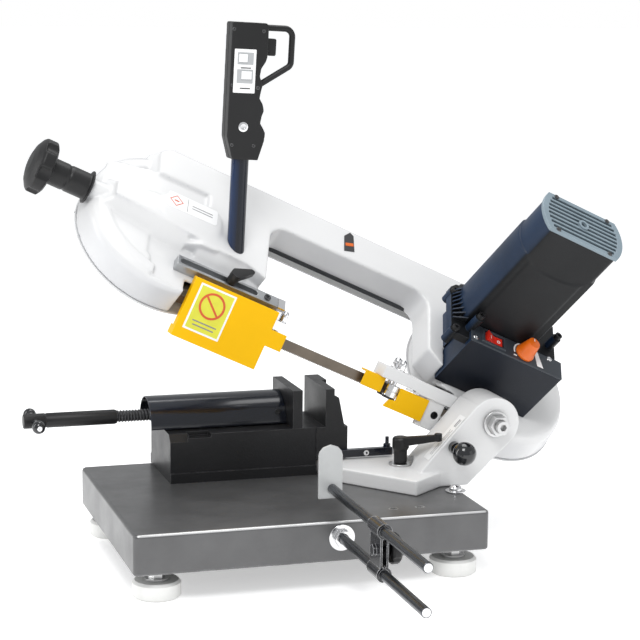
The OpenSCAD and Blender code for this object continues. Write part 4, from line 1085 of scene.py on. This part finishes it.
# ---------------------------------------------------------------- floor
def floor_material():
    """Pale matt white that glows a little."""
    shader = Shader("floor_pale")
    color = shader.mix(shader.noise(scale=3.0), (0.90, 0.90, 0.90), (0.93, 0.93, 0.93))
    for socket, value in (("Base Color", color), ("Roughness", 0.75),
                          ("Specular IOR Level", 0.1), ("Emission Color", (1, 1, 1)),
                          ("Emission Strength", 0.46)):
        shader.put(value, shader.surface.inputs[socket])
    return shader.material


MATERIALS["floor_pale"] = floor_material()
FLOOR_HALF = 30    # metres
floor_corners = [(x * FLOOR_HALF, y * FLOOR_HALF, 0)
                 for x, y in ((-1, -1), (1, -1), (1, 1), (-1, 1))]
add("floor", (floor_corners, [(0, 1, 2, 3)]), None, "floor_pale", None)

# ---------------------------------------------------------------- world
scene = bpy.context.scene


def set_world():
    """A soft cool light for the scene, and plain white where the camera sees the world."""
    world = bpy.data.worlds.new("studio")
    scene.world = world
    world.use_nodes = True
    nodes, links = world.node_tree.nodes, world.node_tree.links
    lighting = nodes["Background"]
    lighting.inputs[0].default_value = (0.97, 0.985, 1, 1)
    lighting.inputs[1].default_value = 0.62
    backdrop = nodes.new("ShaderNodeBackground")
    backdrop.inputs[0].default_value = (1, 1, 1, 1)
    backdrop.inputs[1].default_value = 1.0
    rays = nodes.new("ShaderNodeLightPath")
    mixer = nodes.new("ShaderNodeMixShader")
    links.new(rays.outputs["Is Camera Ray"], mixer.inputs[0])
    links.new(lighting.outputs[0], mixer.inputs[1])
    links.new(backdrop.outputs[0], mixer.inputs[2])
    links.new(mixer.outputs[0], nodes["World Output"].inputs[0])


set_world()
scene.view_settings.view_transform = "Standard"
scene.view_settings.look = "None"

# ---------------------------------------------------------------- lights
LIGHT_TARGET = Vector((0, 0, 0.25))


def area_light(name, at, width, height, power):
    """A rectangular light aimed at the saw; metres and watts."""
    light = bpy.data.lights.new(name, "AREA")
    light.energy = power
    light.shape = "RECTANGLE"
    light.size = width
    light.size_y = height
    ob = link_object(name, light)
    ob.location = at
    ob.rotation_mode = "QUATERNION"
    ob.rotation_quaternion = (LIGHT_TARGET - Vector(at)).to_track_quat("-Z", "Y")


area_light("key", at=(-0.7, -1.1, 2.0), width=0.9, height=0.9, power=22)
area_light("fill", at=(1.8, -1.4, 0.7), width=1.2, height=1.2, power=2.5)
area_light("top", at=(0.3, 0.5, 2.1), width=1.2, height=1.2, power=16)
area_light("strip", at=(-1.7, 0.5, 0.8), width=0.3, height=1.4, power=7)


# ---------------------------------------------------------------- camera
def add_camera():
    camera = bpy.data.cameras.new("camera")
    camera.lens = 109.8939375    # millimetres, like the sensor
    camera.sensor_width = 36
    camera.clip_start, camera.clip_end = 0.05, 50
    ob = link_object("camera", camera)
    # Radians: yaw from +Y toward +X, pitch downward, roll about the view
    yaw, pitch, roll = 0.29779, 0.169669, -0.01008
    forward = Vector((math.sin(yaw) * math.cos(pitch), math.cos(yaw) * math.cos(pitch),
                      -math.sin(pitch)))
    level_right = Vector((math.cos(yaw), -math.sin(yaw), 0))
    level_down = forward.cross(level_right)
    right = level_right * math.cos(roll) + level_down * math.sin(roll)
    down = -level_right * math.sin(roll) + level_down * math.cos(roll)
    location = place(-654.55, -2307.37, 703.62)
    rows = [(right[i], -down[i], -forward[i], location[i]) for i in range(3)]
    ob.matrix_world = Matrix((*rows, (0, 0, 0, 1)))
    scene.camera = ob


add_camera()
